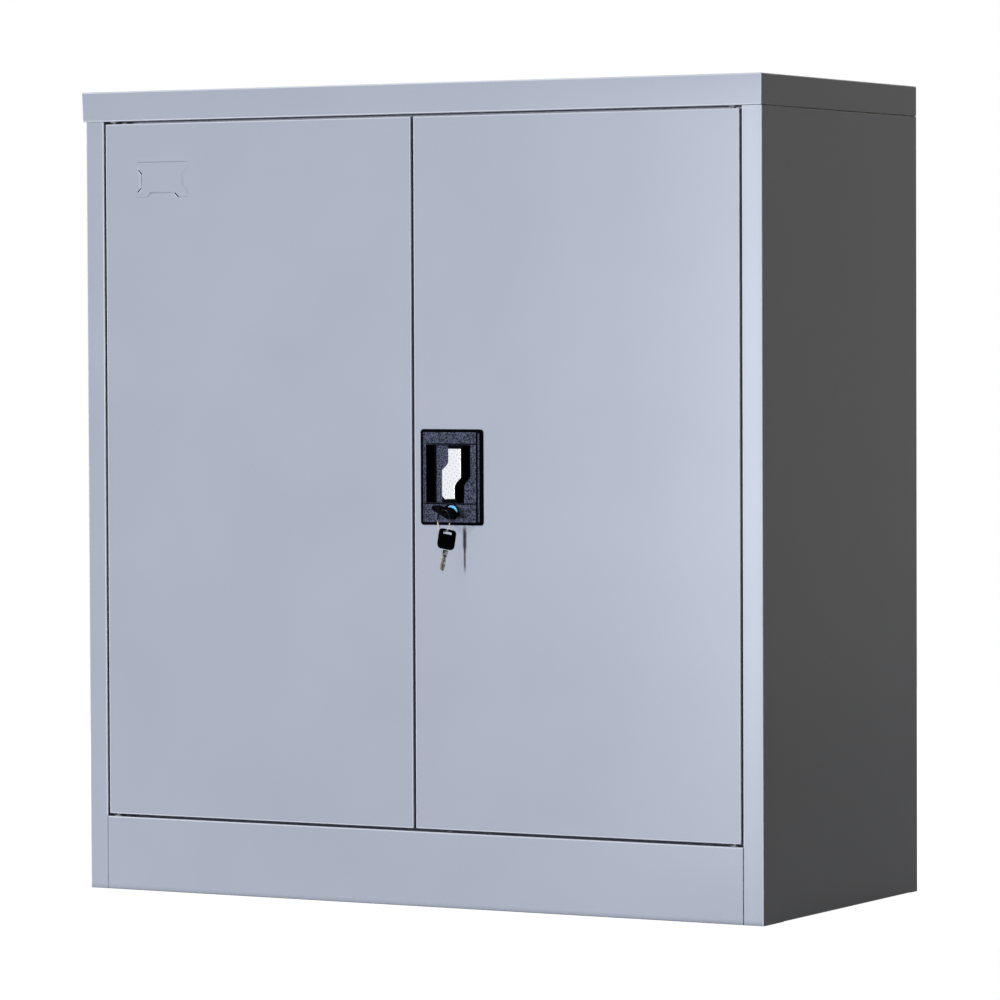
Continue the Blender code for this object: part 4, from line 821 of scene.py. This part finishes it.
def make_painted_crescent():
    """The upper right of the rim, a painted bright crescent of reflection, tapering to both ends.
    """
    arc = grid("rim_painted_crescent", 40, 4)
    centre = on_plate(39.1, -4.75, 12.6)
    start, swept, middle, half_wide = 120, 112, 7.9, 1.3
    for vert in arc.data.vertices:
        share = (vert.co.x + 1) / 2
        turn = math.radians(start - swept * share)
        reach = (middle + half_wide * math.sin(math.pi * share) ** 0.6 * vert.co.z) * MM
        vert.co = centre + Vector((reach * math.cos(turn), 0, reach * math.sin(turn)))
    apply(arc, "SOLIDIFY", thickness=0.5 * MM, offset=0.0)
    face_outwards(arc)
    paint(arc, CRESCENT_GLINT)
    smooth(arc)
    stands_for(arc, "right_leaf", "chrome")


# The keys.  A key's own frame: Y along it to the bow's end, Z through it
KEY_TILT = math.radians(28)
LOCK_FACE = Vector((49.5 * MM, -4.4 * MM, 433.0 * MM))
RING_FOOT = Vector((54.268 * MM, -27.8 * MM, 412.321 * MM))
RING_RADIUS, WIRE_RADIUS, COIL_GAP = 11.8 * MM, 0.44 * MM, 0.9


def frame_of(across, out, origin):
    across, out = Vector(across), Vector(out)
    turn = Matrix((across, out, across.cross(out))).transposed().to_4x4()
    return Matrix.Translation(origin) @ turn


LOCK_KEY_FRAME = frame_of((math.cos(KEY_TILT), 0, -math.sin(KEY_TILT)), (0, -1, 0),
                          LOCK_FACE + Vector((0, -2.2 * MM, 0)))


def spare_key_frame():
    face, tilt = math.radians(70), math.radians(-11)
    through = Vector((math.sin(face), -math.cos(face), 0))
    lean = Matrix.Rotation(tilt, 3, through)
    across = lean @ Vector((math.cos(face), math.sin(face), 0))
    up = lean @ Vector((0, 0, 1))
    return frame_of(across, up, RING_FOOT + across * (5.4 * MM) - up * (18.85 * MM))


def make_bow(name, hole, half_wide=5.2):
    bow = block(name, (-12.75 * MM, 0, -1.8 * MM), (12.75 * MM, 22.5 * MM, 1.8 * MM))
    round_edges(bow, lambda edge: running(0, 0, 1)(edge) and edge.verts[0].co.y > 10 * MM,
                4.5 * MM, 6)
    round_edges(bow, lambda edge: running(0, 0, 1)(edge) and edge.verts[0].co.y < 1 * MM,
                5.6 * MM, 3)
    slot = block("bow_tool", (-half_wide * MM, (19.9 - hole) * MM, -5 * MM),
                 (half_wide * MM, 19.9 * MM, 5 * MM))
    round_edges(slot, running(0, 0, 1), 1.0 * MM, 3)
    join_or_cut(bow, slot, "DIFFERENCE")
    round_edges(bow, sharp(50), 0.55 * MM, 3)
    for side in (-1, 1):
        thumb = block("thumb_tool", (-8.2 * MM, 2.6 * MM, side * 1.45 * MM),
                      (8.2 * MM, (17.2 - hole) * MM, side * 4 * MM))
        if side < 0:
            face_outwards(thumb)
        round_edges(thumb, running(0, 0, 1), 2.2 * MM, 4)
        join_or_cut(bow, thumb, "DIFFERENCE")
    paint(bow, GLOSSY)
    smooth(bow)
    return bow


def make_blade(name):
    """Shank, shoulder and a notched, grooved blade with a pointed tip."""
    blade = block(name, (-2.6 * MM, -23 * MM, -1 * MM), (2.6 * MM, -6 * MM, 1 * MM))
    edit(blade, "EDGE", running(0, 1, 0))
    bpy.ops.mesh.subdivide(number_cuts=11)
    done()
    tip, length, steps, cuts = -23 * MM, 17 * MM, 12, (1.3, 0.5, 1.5, 0.8, 1.1)
    for vert in blade.data.vertices:
        step = round((vert.co.y - tip) / length * steps)
        if step == 0:
            vert.co.x *= 0.15
        elif step in (2, 4, 6, 8, 10) and vert.co.x > 0:
            vert.co.x -= cuts[step // 2 - 1] * MM
        elif step == 1:
            vert.co.x *= 0.8
    shank = block("shank", (-3.9 * MM, -6 * MM, -1 * MM), (3.9 * MM, -0.3 * MM, 1 * MM))
    round_edges(shank, lambda edge: running(0, 0, 1)(edge) and edge.verts[0].co.y < -5 * MM,
                0.8 * MM, 3)
    join_or_cut(blade, shank, "UNION")
    for side in (-1, 1):
        groove = block("groove_tool", (-1.3 * MM, -30 * MM, (0.55 if side > 0 else -2) * MM),
                       (-0.3 * MM, -5.2 * MM, (2 if side > 0 else -0.55) * MM))
        join_or_cut(blade, groove, "DIFFERENCE")
    round_edges(blade, sharp(60), 0.12 * MM, 2)
    paint(blade, KEY_METAL, ZINC, DULL_ZINC_AND_GROOVE_SHADE)
    finish_faces(blade, 1, lambda face: face.center.y > -6.05 * MM)
    # the grooves' floors get the darker zinc as painted shade
    finish_faces(blade, 2, lambda face: face.center.y < -5.4 * MM and
                 abs(face.center.z) < 0.7 * MM and abs(face.center.x + 0.8 * MM) < 0.6 * MM)
    smooth(blade, 35)
    return blade


def make_keys():
    bow = make_bow("lock_key_grip", 8.2)
    place(bow, LOCK_KEY_FRAME)
    stands_for(bow, "key", "black_plastic", "lock_key_bow")
    spare_bow = make_bow("spare_key_grip", 3.0, 8.2)
    edit(spare_bow, "FACE", anything)
    bpy.ops.transform.resize(value=(0.89, 0.97, 1), center_override=(0, 18.5 * MM, 0))
    done()
    place(spare_bow, spare_key_frame())
    stands_for(spare_bow, "spare_key", "black_plastic", "spare_key_bow")
    blade = make_blade("lock_key_stem")
    spare_blade = copy_at(blade, "spare_key_stem", spare_key_frame())
    place(blade, LOCK_KEY_FRAME)
    stands_for(blade, "key", "zinc", "lock_key_blade")
    stands_for(spare_blade, "spare_key", "zinc", "spare_key_blade")


def make_split_ring():
    """Two turns of wire side by side, each end stepping over beside the other."""
    deselect()
    bpy.ops.mesh.primitive_circle_add(vertices=10, radius=WIRE_RADIUS, fill_type="NOTHING",
                                      location=(RING_RADIUS, 0, 0), rotation=ALONG_Y)
    ring = named("split_ring")
    edit(ring, "EDGE", anything)
    bpy.ops.mesh.spin(steps=72, angle=math.radians(352), center=(0, 0, 0), axis=(0, 0, 1))
    done()

    def stepped(vert):
        """How much of its step a coil has done where a vertex is."""
        return ease((math.degrees(math.atan2(vert.co.y, vert.co.x)) % 360 - 300) / 50)

    for vert in ring.data.vertices:
        vert.co.z += (-COIL_GAP / 2 + COIL_GAP * stepped(vert)) * MM
    twin = duplicate(ring, "second_coil")
    for vert in twin.data.vertices:
        vert.co.z += (COIL_GAP - COIL_GAP * stepped(vert)) * MM
    for coil in (ring, twin):
        edit(coil, "EDGE", lambda edge: edge.is_boundary)
        bpy.ops.mesh.edge_face_add()
        bpy.ops.mesh.select_all(action="SELECT")
        bpy.ops.mesh.normals_make_consistent(inside=False)
        done()
    merge(ring, twin)
    paint(ring, SPRING_STEEL)
    smooth(ring, 60)
    turn = math.radians(64)
    way = (math.sin(turn), -math.cos(turn), 0)
    place(ring, frame_of(way, (0, 0, 1), RING_FOOT + Vector((0, 0, RING_RADIUS))))
    stands_for(ring, "ring", "zinc", "key_ring")


WELDS, WELD_PITCH = 7, 124 * MM
SCREW_PLACES = [(x, 21.3, z) for x in (10.3, 88.3) for z in (413.4, 527.9)]
RIVET_PLACES = [(x + shift, 2.9, z) for x, z in ((33.8, 174.5), (76.2, 774.5))
                for shift in (-5.5, 5.5)]
CHANNEL_MIDDLES = (("left_leaf", -200), ("right_leaf", 250))


def make_spot_welds(panel, side):
    """Shallow dents down a side panel's rear flange, where the back panel is welded to it."""
    deselect()
    bpy.ops.mesh.primitive_uv_sphere_add(segments=20, ring_count=10, radius=3.2 * MM,
                                         location=(side * 416 * MM, 392.8 * MM, 60 * MM))
    first = named("weld_tool")
    merge(first, *[copy_at(first, f"weld_tool_{step}", Matrix.Translation(
        (0, 0, step * WELD_PITCH))) for step in range(1, WELDS)])
    paint(first, POWDER)
    join_or_cut(panel, first, "DIFFERENCE")


def make_fasteners():
    """Cover screws, the rod guides' rivets, and the welds that hold the door channels."""
    def on_head(edge):
        return sharp(50)(edge) and edge.verts[0].co.y > 0

    screw = rod("cover_screw", (0, 0, 0), 3.1 * MM, 1.0 * MM, 40)
    round_edges(screw, on_head, 0.45 * MM, 3)
    for long, wide in ((1.9, 0.35), (0.35, 1.9)):
        recess = block("recess_tool", (-long * MM, -0.1 * MM, -wide * MM),
                       (long * MM, 2 * MM, wide * MM))
        join_or_cut(screw, recess, "DIFFERENCE")
    paint(screw, ZINC)
    smooth(screw)
    rivet = rod("guide_rivet", (0, 0, 0), 2.3 * MM, 0.8 * MM, 32)
    round_edges(rivet, on_head, 0.55 * MM, 3)
    paint(rivet, ZINC)
    smooth(rivet)
    weld = rod("channel_weld", (0, 0, 0), 2.6 * MM, 0.3 * MM, 24)
    edit(weld, "FACE", facing(0, 1, 0))
    bpy.ops.mesh.inset(thickness=0.7 * MM, depth=-0.12 * MM)
    done()
    round_edges(weld, on_head, 0.1 * MM, 2)
    paint(weld, POWDER)
    smooth(weld, 60)
    places = [(screw, "right_leaf", "zinc", *spot) for spot in SCREW_PLACES]
    places += [(rivet, "right_leaf", "zinc", *spot) for spot in RIVET_PLACES]
    places += [(weld, body, "powder_coat", x + shift, 2.0, 150 + 108 * step)
               for body, x in CHANNEL_MIDDLES for shift in (-24, 24) for step in range(7)]
    for number, (made, body, slot, x, y, z) in enumerate(places):
        fastener = copy_at(made, f"{made.name}_{number}",
                           Matrix.Translation((x * MM, y * MM, z * MM)))
        stands_for(fastener, body, slot)
    for made in (screw, rivet, weld):
        bpy.data.objects.remove(made)


make_panels()
make_card_lips()
make_fasteners()
make_kick_gussets()
make_small_pieces()
make_lock_plate()
make_grip()
make_insert()
make_barrel()
make_painted_crescent()
make_keys()
make_split_ring()


# Studio: a pale floor, soft light, and the photograph's camera
def seen_ray(tree, strength, gloss=1.0):
    """A share that is 0 for light, and the strength for what the eye or a gloss sees."""
    node = tree.nodes.new("ShaderNodeLightPath")
    glossy = add(tree, "Math", {0: node.outputs["Is Glossy Ray"], 1: gloss},
                 operation="MULTIPLY")
    seen = add(tree, "Math", {0: node.outputs["Is Camera Ray"], 1: glossy},
               operation="MAXIMUM")
    seen = add(tree, "Math", {0: seen, 1: node.outputs["Is Transmission Ray"]},
               operation="MAXIMUM")
    return add(tree, "Math", {0: seen, 1: strength}, operation="MULTIPLY")


FLOOR_SIZE, FLOOR_FRONT = 3.4, -0.06


def pale_studio():
    bpy.ops.mesh.primitive_plane_add(size=FLOOR_SIZE,
                                     location=(0, FLOOR_FRONT + FLOOR_SIZE / 2, 0))
    floor = bpy.context.object
    floor.name = "studio_floor"
    made = bpy.data.materials.new("pale_studio_floor")
    made.use_nodes = True
    tree = made.node_tree
    shader = tree.nodes["Principled BSDF"]
    shader.inputs["Base Color"].default_value = linear("6c6c6c")
    shader.inputs["Roughness"].default_value = 0.9
    tree.links.new(add(tree, "AddShader", {
        0: shader.outputs[0], 1: add(tree, "Emission", {"Strength": seen_ray(tree, 0.97, 0.5)})}),
        tree.nodes["Material Output"].inputs["Surface"])
    floor.data.materials.append(made)

    world = bpy.data.worlds.new("white_studio")
    bpy.context.scene.world = world
    world.use_nodes = True
    tree = world.node_tree
    tree.nodes.clear()
    fill = add(tree, "Background", {"Color": linear("ffefd6"), "Strength": 0.024})
    white = add(tree, "Background", {"Color": (1, 1, 1, 1), "Strength": 1.0})
    mix = add(tree, "MixShader", {0: seen_ray(tree, 1.0), 1: fill, 2: white})
    tree.nodes.active = add(tree, "OutputWorld", {"Surface": mix})


# Each lamp's name, place, aim, width, height, watts, colour and spread in degrees.  The key is
# a tall strip that reaches below the floor's level, so the floor ends just before the cupboard
LAMPS = (("key_strip", (-2.16, -6.11, 0.42), (0.05, 0, 0.45), 0.35, 1.9, 342, "eaf1ff", 180),
         ("top_softbox", (-0.3, -3.2, 2.9), (0.1, 0, 0.6), 1.6, 1.6, 14, "ffffff", 180),
         ("roof_softbox", (0, 0.3, 3.0), (0, 0.3, 0.9), 0.8, 0.35, 1.1, "ffffff", 30),
         ("back_softbox", (-3.6, 4.6, 1.5), (0, 0.39, 0.45), 1.5, 1.5, 160, "ffffff", 180))


def lamp(name, at, aim, wide, tall, watts, colour, spread):
    light = bpy.data.lights.new(name, "AREA")
    light.shape = "RECTANGLE"
    light.size = wide
    light.size_y = tall
    light.energy = watts
    light.color = linear(colour)[:3]
    light.spread = math.radians(spread)
    holder = bpy.data.objects.new(name, light)
    bpy.context.scene.collection.objects.link(holder)
    holder.location = at
    holder.rotation_euler = (Vector(at) - Vector(aim)).to_track_quat("Z", "Y").to_euler()


# The view worked out from the six corners of the body in the photograph
CAMERA_TURNS = (29.1514, 1.9212, -0.2328)
CAMERA_PLACE = (2.86962, -4.95028, 0.63675)
SENSOR_WIDTH, LENS = 36, 188.62


def photo_camera():
    azimuth, elevation, roll = (math.radians(turn) for turn in CAMERA_TURNS)
    back = Vector((math.sin(azimuth) * math.cos(elevation),
                   -math.cos(azimuth) * math.cos(elevation), math.sin(elevation)))
    right = Vector((math.cos(azimuth), math.sin(azimuth), 0))
    up = back.cross(right)
    level = right * math.cos(roll) + up * math.sin(roll)
    plumb = up * math.cos(roll) - right * math.sin(roll)
    camera = bpy.data.cameras.new("photo_camera")
    camera.sensor_width = SENSOR_WIDTH
    camera.lens = LENS
    camera.clip_end = 100
    holder = bpy.data.objects.new("photo_camera", camera)
    bpy.context.scene.collection.objects.link(holder)
    turn = Matrix((level, plumb, back)).transposed().to_4x4()
    holder.matrix_world = Matrix.Translation(CAMERA_PLACE) @ turn
    bpy.context.scene.camera = holder


pale_studio()
for values in LAMPS:
    lamp(*values)
photo_camera()
bpy.context.scene.view_settings.view_transform = "Standard"
